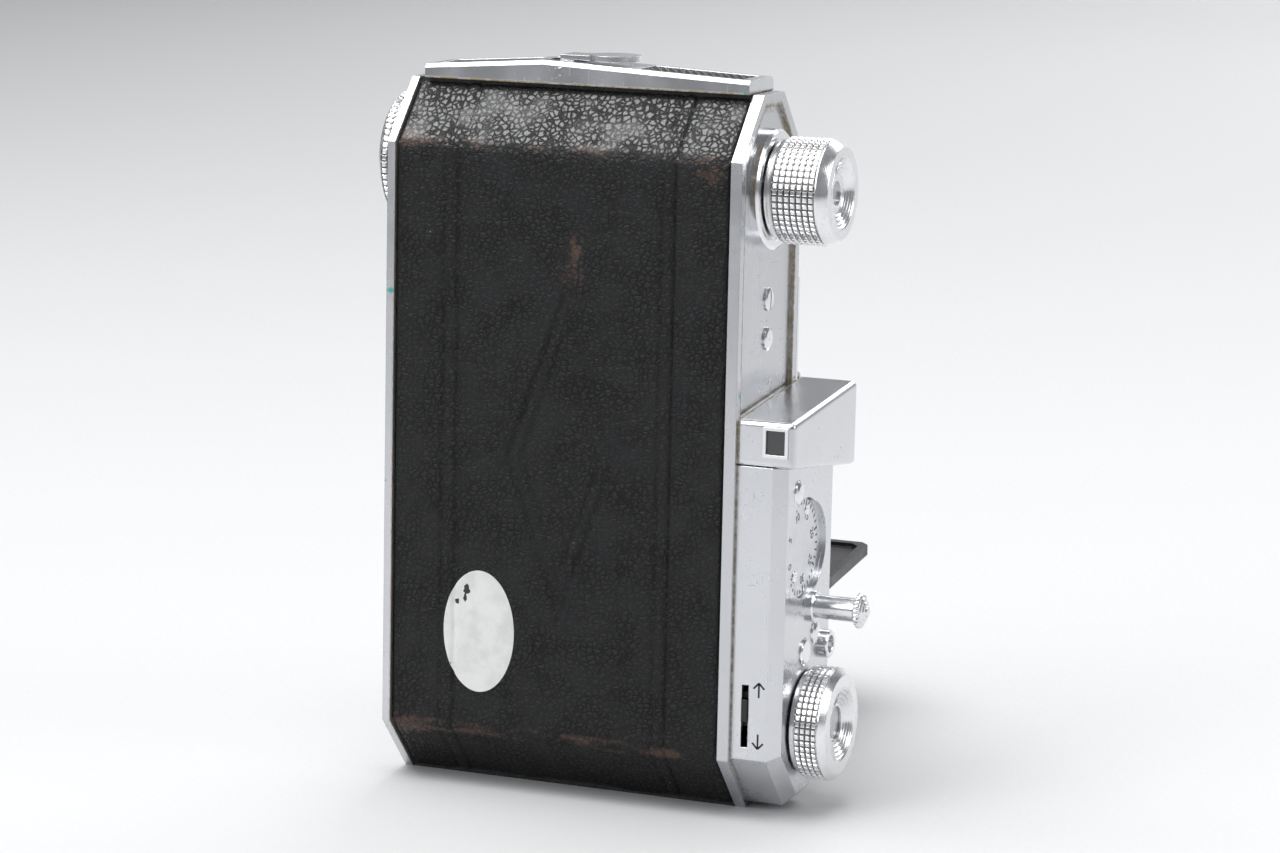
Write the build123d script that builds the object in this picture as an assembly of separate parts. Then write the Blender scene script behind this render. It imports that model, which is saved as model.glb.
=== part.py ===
from build123d import *
import math
import os

# Folding 35 mm camera with a self-erecting bed, standing on its winding end.
# Frame: Z runs from the winding end (z = 0) to the rewind end, X points out of the top plate,
# Y points out of the lens, and y = 0 is half way through the body. Millimetres.
# The rest pose has the front bed open and the lens run out.

# --- body -------------------------------------------------------------------------------------
BODY_LENGTH = 120.0
BODY_HALF_DEPTH = 14.2
CORNER_Y = BODY_HALF_DEPTH * 9.5 / 14.2   # how far each corner bevel comes in from the back or the front
CORNER_Z = 10.2                           # how far each corner bevel comes in from an end
END_HALF = BODY_HALF_DEPTH - CORNER_Y
SPAN_LOW = -30.0          # the leather span, between the two plates
SPAN_HIGH = 30.05
BOTTOM_PLATE = 1.4
TOP_PLATE = 1.95
PLATE_BORDER = 2.0
PLATE_STEP = 0.6
LEATHER = 0.6
SHELL = 1.2
PLAY = 0.05               # gap between pieces that only sit beside each other
RUN = 0.05                # radial clearance of a shaft in its hole
SPLIT_Y = -END_HALF - 0.2 # the back door parts from the body here
BACK_HINGE_Y = -END_HALF - CORNER_Y / 5
BACK_HINGE_Z = 5.3
BACK_BARREL_R = 1.55
BACK_SWING_R = 2.45       # room round the pin for the door's edge to turn in
PIN_R = 0.8

# --- film path --------------------------------------------------------------------------------
WIND_Z = 15.0
REWIND_Z = BODY_LENGTH - 15.8
LENS_Z = (WIND_Z + REWIND_Z) / 2
WORKS = LENS_Z - WIND_Z    # the length that the winding works have
FILM_Y = 5.0 - BODY_HALF_DEPTH
GATE_X = 24.0
GATE_Z = 36.0
SPOOL_ROOM_R = BODY_HALF_DEPTH - 2.0
CASSETTE_ROOM_R = BODY_HALF_DEPTH - 1.65
SPOOL_R = SPOOL_ROOM_R - 4.7
SPROCKET_R = 6.05
SPROCKET_TEETH = 8
SPROCKET_Z = 32.0
SPROCKET_TRACK = 28.0     # between the two rows of teeth

# --- top ----------------------------------------------------------------------------------------
HOUSING_TOP = 40.3
HOUSING_REAR = 1.1 - BODY_HALF_DEPTH
HOUSING_FRONT = BODY_HALF_DEPTH - 1.3
HOUSING_INSET = 1.1
HOUSING_WALL = 1.0
HOUSING_BEVEL = 2.0
FINDER_TOP = 41.9
FINDER_REAR = 1.0 - BODY_HALF_DEPTH
FINDER_FRONT = BODY_HALF_DEPTH + 3.8
FINDER_REAR_Z = (LENS_Z + 0.5, LENS_Z + 8.0)
FINDER_FRONT_Z = (LENS_Z - 3.6, LENS_Z + 10.9)
FINDER_ROUND = 0.9
WINDOW_X = (37.0, 40.3)
WINDOW_Z = (LENS_Z + 2.7, LENS_Z + 6.7)
WIND_R = 9.55
WIND_TOP = 46.9
REWIND_R = 8.85
REWIND_TOP = 44.4
SHAFT_R = 2.0
DIAL_Y = -2.2
DIAL_Z = WIND_Z + WORKS * 30.0 / 44.6
DIAL_R = WORKS * 8.25 / 44.6
DIAL_SINK = 0.75
RELEASE_Y = 2.2
RELEASE_Z = WIND_Z + WORKS * 19.3 / 44.6
RELEASE_R = 2.0
RELEASE_TOP = 50.4
SLOT_X = (33.8, 35.0)
SLOT_Z = (12.7, 23.3)
CABLE_YZ = (HOUSING_FRONT - 4.3, WIND_Z + WORKS * 11.5 / 44.6)
FILM_RELEASE_YZ = (HOUSING_FRONT - 14.0, WIND_Z + WORKS * 12.0 / 44.6)
FILM_RELEASE_R = 2.3
TOP_SCREWS = [(1.2, REWIND_Z - 18.5), (1.1, REWIND_Z - 25.1)]           # (y, z) of each
HOUSING_SCREWS = [(-6.0, DIAL_Z + DIAL_R + 1.75), (CABLE_YZ[0] - 4.5, WIND_Z + WORKS * 14.3 / 44.6)]
DIAL_SCREWS = [(DIAL_Y + 2.5, DIAL_Z + 6.0 * DIAL_R / 8.25), (DIAL_Y - 2.8, DIAL_Z - 4.4 * DIAL_R / 8.25)]

# --- bottom -------------------------------------------------------------------------------------
TRIPOD_R = 11.2
TRIPOD_HEIGHT = 3.4
TRIPOD_HOLE_R = 3.97
TRIPOD_DEPTH = 4.6
TRIPOD_Z = REWIND_Z + 1.8
BOTTOM_SCREWS = [(0, 6.0), (-9.0, BODY_LENGTH / 2), (9.0, BODY_LENGTH / 2), (0, 30.0)]
BED_BUTTON_Y = BODY_HALF_DEPTH - 2.7
BED_BUTTON_Z = BODY_LENGTH - 27.0

# --- front bed and lens -------------------------------------------------------------------------
PLATFORM_X = 29.8
PLATFORM_Z = (LENS_Z - 34.2, LENS_Z + 27.2)
PLATFORM_FRONT = BODY_HALF_DEPTH + 7.1
PLATFORM_WALL = 2.2
PLATFORM_SILL = 2.1
BED_HINGE_Y = PLATFORM_FRONT - 1.5
BED_HINGE_Z = PLATFORM_Z[0] + 2.7
BED_FACE = 1.6            # inner face of the bed, in front of its hinge when shut
BED_LENGTH = PLATFORM_Z[1] - BED_HINGE_Z - 0.2   # from the hinge to the tip
BED_HALF_ROOT = 28.3
BED_HALF_TIP = 25.0
BED_THICK = 2.4
BED_OPEN = 87.0           # degrees from shut to open
BED_REST_TILT = 90.0 - BED_OPEN
LENS_TRAVEL = 26.0
BOARD_Y = BED_HINGE_Y + 4.2   # back of the lens board, run out
BOARD_THICK = 2.0
BOARD_HALF_X = 22.6
BOARD_HALF_Z = 19.2
SHUTTER_R = 22.3
SHUTTER_DEPTH = 11.0
LENS_R = 12.0
LENS_FRONT = BOARD_Y + 21.0
SHUTTER_SLOTS = [(1.6, 3.0, 28, 94), (4.4, 5.8, 100, 150), (4.4, 5.8, 196, 232)]   # y low, y high, angles
EAR_X = (23.8, 25.0)
STRUT_X = (25.2, 26.0)
BRACKET_X = (26.25, 27.15)
LUG_X = (26.3, 27.3)
STRUT_PIVOT = (BOARD_Y + 8.0, LENS_Z + 7.4)
STRUT_ROOT = 3.22         # along the bed from its hinge
STRUT_RISE = 4.0          # above the inner face of the bed
STRUT_SLOT = 2.55         # how much shorter the strut runs at mid travel
FRAME_LOW = 22.8          # the folded lens's room, below the lens axis
FRAME_HIGH = 24.3         # and above it, where the aperture lever stands

# --- latch on the rewind end --------------------------------------------------------------------
STRAP_X = (-28.5, 29.8)
STRAP_Y = (-END_HALF - 1.3, END_HALF + 0.7)
STRAP_END = BODY_LENGTH + 2.3
STRAP_PEAK = BODY_LENGTH + 3.9
STRAP_PEAK_X = -7.0
LATCH_PIN_X = -3.9
LATCH_PIN_Z = BODY_LENGTH + 2.2
LATCH_TAB_R = 4.4
LATCH_TAB_X = 3.6
LATCH_PANELS = [(-26.5, -10.5), (9.5, 27.8)]

TOP_FACE = SPAN_HIGH + TOP_PLATE
PANEL_FACE = TOP_FACE - PLATE_STEP
BOTTOM_FACE = SPAN_LOW - BOTTOM_PLATE


# --- helpers ------------------------------------------------------------------------------------
def block(x, y, z):
    """A box between the given (low, high) pairs."""
    centre = Pos((x[0] + x[1]) / 2, (y[0] + y[1]) / 2, (z[0] + z[1]) / 2)
    return centre * Box(x[1] - x[0], y[1] - y[0], z[1] - z[0])


def rod_x(radius, x_low, x_high, y, z):
    """A cylinder along X."""
    upright = Cylinder(radius, x_high - x_low, align=(Align.CENTER, Align.CENTER, Align.MIN))
    return Pos(x_low, y, z) * Rot(0, 90, 0) * upright


def rod_y(radius, y_low, y_high, x, z):
    """A cylinder along Y."""
    upright = Cylinder(radius, y_high - y_low, align=(Align.CENTER, Align.CENTER, Align.MIN))
    return Pos(x, y_low, z) * Rot(-90, 0, 0) * upright


def ring_x(outer, inner, x_low, x_high, y, z):
    return rod_x(outer, x_low, x_high, y, z) - rod_x(inner, x_low - 1, x_high + 1, y, z)


def ring_y(outer, inner, y_low, y_high, x, z):
    return rod_y(outer, y_low, y_high, x, z) - rod_y(inner, y_low - 1, y_high + 1, x, z)


def prism_x(points, x_low, x_high):
    """An outline of (y, z) points carried along X."""
    face = Face(Wire.make_polygon([Vector(x_low, y, z) for y, z in points], close=True))
    return extrude(face, amount=x_high - x_low, dir=(1, 0, 0))


def prism_y(points, y_low, y_high):
    """An outline of (x, z) points carried along Y."""
    face = Face(Wire.make_polygon([Vector(x, y_low, z) for x, z in points], close=True))
    return extrude(face, amount=y_high - y_low, dir=(0, 1, 0))


def turned_x(profile, y, z):
    """A profile of (x, radius) points turned about an axis along X."""
    face = Face(Wire.make_polygon([Vector(x, r, 0) for x, r in profile], close=True))
    return Pos(0, y, z) * revolve(face, axis=Axis.X)


def turned_y(profile, x, z):
    """A profile of (y, radius) points turned about an axis along Y."""
    face = Face(Wire.make_polygon([Vector(r, y, 0) for y, r in profile], close=True))
    return Pos(x, 0, z) * revolve(face, axis=Axis.Y)


def octagon(inset=0.0):
    """The body's outline in (y, z), with every side moved in by the inset."""
    slope = math.hypot(CORNER_Y, CORNER_Z)
    side = BODY_HALF_DEPTH - inset
    end = END_HALF - inset * (slope - CORNER_Y) / CORNER_Z
    low = CORNER_Z + inset * (slope - CORNER_Z) / CORNER_Y
    bottom, top = inset, BODY_LENGTH - inset
    high = BODY_LENGTH - low
    return [(-end, bottom), (end, bottom), (side, low), (side, high),
            (end, top), (-end, top), (-side, high), (-side, low)]


def slot_cut(x, y, z, length, angle, width=0.5, depth=0.35):
    """The cutter for a screwdriver slot in a head that faces +X."""
    return Pos(x, y, z) * Rot(angle, 0, 0) * Box(2 * depth, width, length)


def on_bed(shape):
    """Turn a shape drawn on a level bed about the hinge to the bed's rest tilt."""
    hinge = Axis((0, BED_HINGE_Y, BED_HINGE_Z), (1, 0, 0))
    return shape.rotate(hinge, BED_REST_TILT)


def mirror_x(shape):
    return shape + mirror(shape, about=Plane.YZ)


def door_side(gap=0.0):
    """Everything that swings with the back door: behind the split, above a cut square to the bevel."""
    slope = math.hypot(CORNER_Y, CORNER_Z)
    normal_y, normal_z = -CORNER_Z / slope, -CORNER_Y / slope
    along_y, along_z = normal_z, -normal_y
    foot_y, foot_z = BACK_HINGE_Y + gap * along_y, BACK_HINGE_Z + gap * along_z
    outer = (foot_y + 9 * normal_y, foot_z + 9 * normal_z)
    reach = (SPLIT_Y - gap - foot_y) / -normal_y
    inner = (SPLIT_Y - gap, foot_z - reach * normal_z)
    points = [outer, inner, (SPLIT_Y - gap, BODY_LENGTH + 5), (-40, BODY_LENGTH + 5), (-40, outer[1])]
    return prism_x(points, -40, 40)


def hinge_room():
    """The room that the door's edge needs as it swings: a round one about the pin, open to the bevel."""
    slope = math.hypot(CORNER_Y, CORNER_Z)
    normal_y, normal_z = -CORNER_Z / slope, -CORNER_Y / slope
    along_y, along_z = -normal_z, normal_y
    room = rod_x(BACK_SWING_R, SPAN_LOW + 0.3, SPAN_HIGH - 0.3, BACK_HINGE_Y, BACK_HINGE_Z)
    corners = []
    for out, along in ((0, -BACK_SWING_R), (0, BACK_SWING_R), (6, BACK_SWING_R), (6, -BACK_SWING_R)):
        corners.append((BACK_HINGE_Y + out * normal_y + along * along_y,
                        BACK_HINGE_Z + out * normal_z + along * along_z))
    return room + prism_x(corners, SPAN_LOW + 0.3, SPAN_HIGH - 0.3)


# --- body and its fixed parts -------------------------------------------------------------------
def casting():
    """The whole body, before it is parted into the two chambers and the frame between them."""
    low, high = SPAN_LOW, SPAN_HIGH
    shell = prism_x(octagon(LEATHER), low, high)
    shell += block((low, high), (-END_HALF, END_HALF), (0, BODY_LENGTH))
    shell -= door_side()
    shell -= hinge_room()
    shell -= rod_x(PIN_R, low - 1, high + 1, BACK_HINGE_Y, BACK_HINGE_Z)
    gate_z = (LENS_Z - FRAME_LOW - 0.2, REWIND_Z - CASSETTE_ROOM_R)
    shell += block((low + 2, high - 2), (FILM_Y, SPLIT_Y), gate_z)
    inner_low, inner_high = low + 1.7, high - 1.75
    shell -= rod_x(SPOOL_ROOM_R, inner_low, inner_high, 0, WIND_Z)
    shell -= rod_x(CASSETTE_ROOM_R, inner_low, inner_high, 0, REWIND_Z)
    sprocket_y = FILM_Y + SPROCKET_R
    shell -= rod_x(SPROCKET_R + 1.25, inner_low, inner_high, sprocket_y, SPROCKET_Z)
    shell -= block((inner_low, inner_high), (FILM_Y - 1, 0), (WIND_Z, SPROCKET_Z))
    # bellows room, board room and shutter room, one in front of the other
    shell -= block((-18.5, 18.5), (FILM_Y + 2, -2.3), (LENS_Z - 19.6, LENS_Z + 19.6))
    shell -= block((-26.8, 26.8), (-2.4, 0), (LENS_Z - 19.7, LENS_Z + 19.7))
    shell -= block((-26.8, 26.8), (-0.5, BODY_HALF_DEPTH + 1), (LENS_Z - FRAME_LOW, LENS_Z + FRAME_HIGH))
    gate = block((-GATE_X / 2, GATE_X / 2), (FILM_Y - 1, FILM_Y + 3),
                 (LENS_Z - GATE_Z / 2, LENS_Z + GATE_Z / 2))
    shell -= gate
    shell -= rod_x(3.0 + RUN, inner_high - 1, high + 1, 0, WIND_Z)
    shell -= rod_x(SHAFT_R + RUN, inner_high - 1, high + 1, 0, REWIND_Z)
    shell -= rod_x(1.5 + RUN, inner_low - 1.2, high + 1, sprocket_y, SPROCKET_Z)
    shell -= rod_x(TRIPOD_HOLE_R + 1.2, low - 1, inner_low + 1, 0, TRIPOD_Z)
    shell -= rod_x(1.2 + RUN, low - 1, low + 8.0, BED_BUTTON_Y, BED_BUTTON_Z)
    return shell


def winding_chamber():
    """The end of the body that holds the take-up spool and the sprocket."""
    return casting() & block((-40, 40), (-40, 40), (-5, LENS_Z - FRAME_LOW - 0.2))


def lens_frame():
    """The middle of the body: the film gate and the room for the folded lens."""
    return casting() & block((-40, 40), (-40, 40), (LENS_Z - FRAME_LOW - 0.2, LENS_Z + FRAME_HIGH + 0.2))


def cassette_chamber():
    """The end of the body that holds the film cassette."""
    return casting() & block((-40, 40), (-40, 40), (LENS_Z + FRAME_HIGH + 0.2, BODY_LENGTH + 5))


def body_leather():
    """The covering on the body's front, either side of the platform, and below the back door's hinge."""
    skin = prism_x(octagon(0), SPAN_LOW + 0.3, SPAN_HIGH - 0.3)
    skin -= prism_x(octagon(LEATHER - 0.01), SPAN_LOW - 1, SPAN_HIGH + 1)
    skin -= block((-40, 40), (-END_HALF - 0.3, END_HALF + 0.3), (-1, BODY_LENGTH + 1))
    skin -= block((-40, 40), (0, 20), (PLATFORM_Z[0] - 0.2, PLATFORM_Z[1] + 0.2))
    skin -= door_side()
    skin -= hinge_room()
    return skin


def front_platform():
    """The raised frame in front of the body that the bed shuts against."""
    low, high = PLATFORM_Z
    frame = block((-PLATFORM_X, PLATFORM_X), (BODY_HALF_DEPTH - LEATHER, PLATFORM_FRONT - 0.8), (low, high))
    inner_x = PLATFORM_X - PLATFORM_WALL
    frame -= block((-inner_x, inner_x), (BODY_HALF_DEPTH - 2, PLATFORM_FRONT + 1), (low + PLATFORM_SILL, high - 1.6))
    frame -= block((-inner_x, inner_x), (BED_HINGE_Y - 1.9, PLATFORM_FRONT + 1), (low - 1, BED_HINGE_Z + 2))
    frame -= rod_x(PIN_R + 0.02, -PLATFORM_X - 1, PLATFORM_X + 1, BED_HINGE_Y, BED_HINGE_Z)
    return frame


def platform_rim():
    """The bright strip round the platform's front edge."""
    low, high = PLATFORM_Z
    rim = block((-PLATFORM_X, PLATFORM_X), (PLATFORM_FRONT - 0.8, PLATFORM_FRONT), (BED_HINGE_Z + 2.4, high))
    inner_x = PLATFORM_X - PLATFORM_WALL + 0.9
    return rim - block((-inner_x, inner_x), (0, 40), (0, high - 1.2))


def top_plate():
    plate = prism_x(octagon(0), SPAN_HIGH, TOP_FACE)
    plate -= prism_x(octagon(PLATE_BORDER), PANEL_FACE, TOP_FACE + 1)
    plate -= rod_x(3.0 + RUN, SPAN_HIGH - 1, TOP_FACE + 1, 0, WIND_Z)
    plate -= rod_x(SHAFT_R + RUN, SPAN_HIGH - 1, TOP_FACE + 1, 0, REWIND_Z)
    plate -= rod_x(1.5 + RUN, SPAN_HIGH - 1, TOP_FACE + 1, FILM_Y + SPROCKET_R, SPROCKET_Z)
    for y, z in TOP_SCREWS:
        plate -= rod_x(1.0, SPAN_HIGH - 1, TOP_FACE + 1, y, z)
    return plate


def plate_screws():
    """Two screws in the top plate, the second with a plain head, and four in the bottom plate."""
    heads = []
    for index, (y, z) in enumerate(TOP_SCREWS):
        head = turned_x([(PANEL_FACE - 1.3, 0), (PANEL_FACE - 1.3, 1.0), (PANEL_FACE, 1.0), (PANEL_FACE, 2.0),
                         (PANEL_FACE + 0.3, 2.0), (PANEL_FACE + 0.5, 1.5), (PANEL_FACE + 0.55, 0)], y, z)
        if index == 0:
            head -= slot_cut(PANEL_FACE + 0.6, y, z, 5.0, 0)
        heads.append(head)
    for y, z in BOTTOM_SCREWS:
        face = BOTTOM_FACE
        head = turned_x([(SPAN_LOW, 0), (SPAN_LOW, 0.9), (face, 0.9), (face, 1.7),
                         (face - 0.35, 1.3), (face - 0.45, 0)], y, z)
        heads.append(head - slot_cut(face - 0.5, y, z, 5.0, 90))
    return Compound(children=heads)


def bottom_plate():
    plate = prism_x(octagon(0), BOTTOM_FACE, SPAN_LOW)
    plate -= rod_x(TRIPOD_HOLE_R + 1.2, BOTTOM_FACE - 1, SPAN_LOW + 1, 0, TRIPOD_Z)
    plate -= rod_x(1.2 + RUN, BOTTOM_FACE - 1, SPAN_LOW + 1, BED_BUTTON_Y, BED_BUTTON_Z)
    for y, z in BOTTOM_SCREWS:
        plate -= rod_x(0.9, BOTTOM_FACE - 1, SPAN_LOW + 1, y, z)
    return plate


def tripod_socket():
    """The round boss on the bottom with the tripod thread in it."""
    z = TRIPOD_Z
    outer = BOTTOM_FACE - TRIPOD_HEIGHT
    boss = turned_x([(outer, 0), (outer, TRIPOD_R - 0.7), (outer + 0.6, TRIPOD_R), (BOTTOM_FACE - 0.5, TRIPOD_R),
                     (BOTTOM_FACE, TRIPOD_R - 0.6), (BOTTOM_FACE, TRIPOD_HOLE_R + 1.15),
                     (SPAN_LOW + 1.0, TRIPOD_HOLE_R + 1.15), (SPAN_LOW + 1.0, 0)], 0, z)
    return boss - rod_x(TRIPOD_HOLE_R, outer - 1, outer + TRIPOD_DEPTH, 0, z)


def finder_outline(grow=0.0):
    rear, front = FINDER_REAR - grow, FINDER_FRONT + grow
    return [(rear, FINDER_REAR_Z[0] - grow), (front, FINDER_FRONT_Z[0] - grow),
            (front, FINDER_FRONT_Z[1] + grow), (rear, FINDER_REAR_Z[1] + grow)]


def housing_outline(inset):
    """The octagon's winding end, cut off at the finder, in (y, z)."""
    ring = octagon(HOUSING_INSET + inset)
    end_half, corner_z = ring[1][0], ring[2][1]
    rear, front = HOUSING_REAR + inset, HOUSING_FRONT - inset
    low = HOUSING_INSET + inset
    top = FINDER_REAR_Z[1]
    return [(-end_half, low), (end_half, low), (front, corner_z), (front, top), (rear, top), (rear, corner_z)]


def bevelled_housing(inset, x_low, x_high, bevel):
    """The housing's outline carried along X, with its crown bevelled except at the finder."""
    solid = prism_x(housing_outline(inset), x_low, x_high)
    crown = [e for e in solid.edges() if abs(e.center().X - x_high) < 1e-6 and e.center().Z < FINDER_REAR_Z[1] - 1]
    return chamfer(crown, bevel)


def top_housing():
    """The raised cover over the winding works, with its slot and its dial pocket."""
    outer = bevelled_housing(0, TOP_FACE, HOUSING_TOP, HOUSING_BEVEL)
    inner = bevelled_housing(HOUSING_WALL, TOP_FACE - 1, HOUSING_TOP - HOUSING_WALL, HOUSING_BEVEL * 0.6)
    cover = outer - inner
    cover += rod_x(DIAL_R + 3.0, HOUSING_TOP - 2.7, HOUSING_TOP - 0.5, DIAL_Y, DIAL_Z) & outer
    cover -= prism_x(finder_outline(PLAY), PANEL_FACE - 1, HOUSING_TOP + 1)
    cover -= block((PANEL_FACE - 1, HOUSING_TOP + 1), (-20, 20), (FINDER_REAR_Z[0] - 0.1, BODY_LENGTH))
    pocket = HOUSING_TOP - DIAL_SINK - 0.8
    cover -= rod_x(DIAL_R + 0.2, pocket, HOUSING_TOP + 1, DIAL_Y, DIAL_Z)
    cover -= rod_x(DIAL_R - 0.4, HOUSING_TOP - DIAL_SINK, HOUSING_TOP + 1, DIAL_Y + 2.7, DIAL_Z - 0.4)
    cover -= rod_x(1.2 + RUN, HOUSING_TOP - 4, HOUSING_TOP + 1, DIAL_Y, DIAL_Z)
    cover -= rod_x(3.0 + RUN, HOUSING_TOP - 2, HOUSING_TOP + 1, 0, WIND_Z)
    cover -= rod_x(RELEASE_R + RUN, HOUSING_TOP - 5, HOUSING_TOP + 1, RELEASE_Y, RELEASE_Z)
    cover -= rod_x(1.4, HOUSING_TOP - 2, HOUSING_TOP + 1, CABLE_YZ[0], CABLE_YZ[1])
    cover -= rod_x(FILM_RELEASE_R + RUN, HOUSING_TOP - 2, HOUSING_TOP + 1, *FILM_RELEASE_YZ)
    for y, z in HOUSING_SCREWS:
        cover -= rod_x(1.0, HOUSING_TOP - 2, HOUSING_TOP + 1, y, z)
    return cover - block(SLOT_X, (HOUSING_REAR - 1, HOUSING_REAR + 2), SLOT_Z)


def housing_screws():
    """Domed screws in the top of the housing."""
    heads = []
    for y, z in HOUSING_SCREWS:
        face = HOUSING_TOP
        heads.append(turned_x([(face - 2.0, 0), (face - 2.0, 1.0), (face, 1.0), (face, 2.1),
                               (face + 0.25, 1.9), (face + 0.5, 1.2), (face + 0.6, 0)], y, z))
    return Compound(children=heads)


def finder_housing():
    body = prism_x(finder_outline(), TOP_FACE, FINDER_TOP)
    soft = [e for e in body.edges() if e.center().X > TOP_FACE + 1]
    body = fillet(soft, FINDER_ROUND)
    reach = BODY_HALF_DEPTH - PLATE_BORDER - PLAY
    foot = prism_x(finder_outline(-0.3), PANEL_FACE, TOP_FACE)
    body += foot & block((PANEL_FACE - 1, TOP_FACE + 1), (-reach, reach), (0, BODY_LENGTH))
    tunnel = Face(Wire.make_polygon([Vector(WINDOW_X[0] - 0.6, y, z) for y, z in [
        (FINDER_REAR + 1.2, FINDER_REAR_Z[0] + 1.3), (FINDER_FRONT + 1, FINDER_FRONT_Z[0] + 1.1),
        (FINDER_FRONT + 1, FINDER_FRONT_Z[1] - 1.1), (FINDER_REAR + 1.2, FINDER_REAR_Z[1] - 1.3)]], close=True))
    body -= extrude(tunnel, amount=WINDOW_X[1] - WINDOW_X[0] + 1.2, dir=(1, 0, 0))
    body -= block(WINDOW_X, (FINDER_REAR - 1, FINDER_REAR + 2), WINDOW_Z)
    return body


def eyepiece_frame():
    """The bright raised frame round the finder's rear window."""
    edge = 0.55
    x, z = WINDOW_X, WINDOW_Z
    ring = block((x[0] - edge, x[1] + edge), (FINDER_REAR - 0.35, FINDER_REAR - 0.01), (z[0] - edge, z[1] + edge))
    return ring - block(x, (FINDER_REAR - 1, FINDER_REAR + 1), z)


def eyepiece_lens():
    gap = PLAY
    return block((WINDOW_X[0] + gap, WINDOW_X[1] - gap), (FINDER_REAR + 0.15, FINDER_REAR + 1.1),
                 (WINDOW_Z[0] + gap, WINDOW_Z[1] - gap))


def finder_front_lens():
    x_low, x_high = WINDOW_X[0] - 0.6 + PLAY, WINDOW_X[1] + 0.6 - PLAY
    return block((x_low, x_high), (FINDER_FRONT - 1.7, FINDER_FRONT - 0.9),
                 (FINDER_FRONT_Z[0] + 1.5, FINDER_FRONT_Z[1] - 1.5))


def rewind_collar():
    face = PANEL_FACE
    outer = min(10.0, BODY_HALF_DEPTH - 2.2)      # inside the plate's raised rim
    return turned_x([(face, SHAFT_R + RUN), (face, outer), (face + 1.4, outer), (face + 1.8, outer - 0.5),
                     (face + 1.8, outer - 1.6),
                     (face + 1.4, 8.2), (face + 1.4, SHAFT_R + RUN)], 0, REWIND_Z)


def release_collar():
    face = HOUSING_TOP
    hole = RELEASE_R + RUN
    return turned_x([(face, hole), (face, 2.75), (face + 0.75, 2.75), (face + 1.0, 2.5), (face + 1.0, hole)],
                    RELEASE_Y, RELEASE_Z)


def cable_release_socket():
    y, z = CABLE_YZ
    face = HOUSING_TOP
    return turned_x([(face - 2.0, 0.9), (face - 2.0, 1.38), (face, 1.38), (face, 2.4), (face + 1.15, 2.4),
                     (face + 1.35, 2.2), (face + 1.35, 1.5), (face - 1.0, 1.0)], y, z)


def back_hinge_pin():
    return rod_x(PIN_R, SPAN_LOW, SPAN_HIGH, BACK_HINGE_Y, BACK_HINGE_Z)


def bed_hinge_pins():
    """A short pin on each side, clear of the struts."""
    pin = rod_x(PIN_R, LUG_X[0], PLATFORM_X - 0.2, BED_HINGE_Y, BED_HINGE_Z)
    return Compound(children=[pin, mirror(pin, about=Plane.YZ)])


# --- latch --------------------------------------------------------------------------------------
def strap_top(x):
    """Height of the strap's crown: two straight falls from its peak."""
    end = STRAP_X[0] if x < STRAP_PEAK_X else STRAP_X[1]
    share = (x - STRAP_PEAK_X) / (end - STRAP_PEAK_X)
    return STRAP_PEAK + (STRAP_END - STRAP_PEAK) * share


def latch_strap():
    low = BODY_LENGTH + 0.02
    outline = [(STRAP_X[0], low), (STRAP_X[1], low), (STRAP_X[1], STRAP_END), (STRAP_PEAK_X, STRAP_PEAK),
               (STRAP_X[0], STRAP_END)]
    strap = prism_y(outline, *STRAP_Y)
    crown = [e for e in strap.edges() if e.center().Z > STRAP_END + 0.3
             and abs(e.center().Y - sum(STRAP_Y) / 2) > 2]
    strap = chamfer(crown, 0.6)
    for x_low, x_high in LATCH_PANELS:
        strap -= latch_panel(x_low - 0.1, x_high + 0.1, -0.9, 1.0)
    strap -= block((LATCH_PIN_X - 4.4, LATCH_PIN_X + 2.6), (-3.3, 3.3),
                   (BODY_LENGTH + 0.55, BODY_LENGTH + 6.0))
    return strap - rod_y(0.62, STRAP_Y[0] - 1, STRAP_Y[1] + 1, LATCH_PIN_X, LATCH_PIN_Z)


def latch_panel(x_low, x_high, under, over):
    """A slab that follows the strap's crown between two places along it."""
    points = [(x_low, strap_top(x_low) + under), (x_high, strap_top(x_high) + under),
              (x_high, strap_top(x_high) + over), (x_low, strap_top(x_low) + over)]
    grow = 0.1 if over > 0 else 0.0
    return prism_y(points, -3.9 - grow, 3.7 + grow)


def latch_inserts():
    return Compound(children=[latch_panel(low, high, -0.85, -0.25) for low, high in LATCH_PANELS])


def latch_pin():
    return rod_y(0.6, STRAP_Y[0] - 0.1, STRAP_Y[1], LATCH_PIN_X, LATCH_PIN_Z)


def latch_lever():
    """The lifting lever: two ears on the pin, a plate over the strap and a round tab."""
    base = STRAP_PEAK + 0.08
    plate = block((LATCH_PIN_X - 1.2, LATCH_TAB_X), (-2.9, 2.9), (base, base + 0.8))
    tab = Pos(LATCH_TAB_X, 0, base) * Cylinder(LATCH_TAB_R, 0.95, align=(Align.CENTER, Align.CENTER, Align.MIN))
    lever = plate + tab
    for y in (-2.9, 1.9):
        lever += block((LATCH_PIN_X - 1.2, LATCH_PIN_X + 1.2), (y, y + 1.0), (LATCH_PIN_Z - 1.0, base + 0.1))
    return lever - rod_y(0.6 + RUN, -10, 10, LATCH_PIN_X, LATCH_PIN_Z)


# --- back door ----------------------------------------------------------------------------------
def back_door():
    low, high = SPAN_LOW + 0.35, SPAN_HIGH - 0.35
    shell = prism_x(octagon(LEATHER), low, high) - prism_x(octagon(LEATHER + SHELL), low - 1, high + 1)
    shell = shell & door_side(PLAY)
    # curl the hinge edge round the pin
    shell += rod_x(BACK_BARREL_R, low, high, BACK_HINGE_Y, BACK_HINGE_Z)
    shell -= rod_x(PIN_R + RUN, low - 1, high + 1, BACK_HINGE_Y, BACK_HINGE_Z)
    return shell


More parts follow.
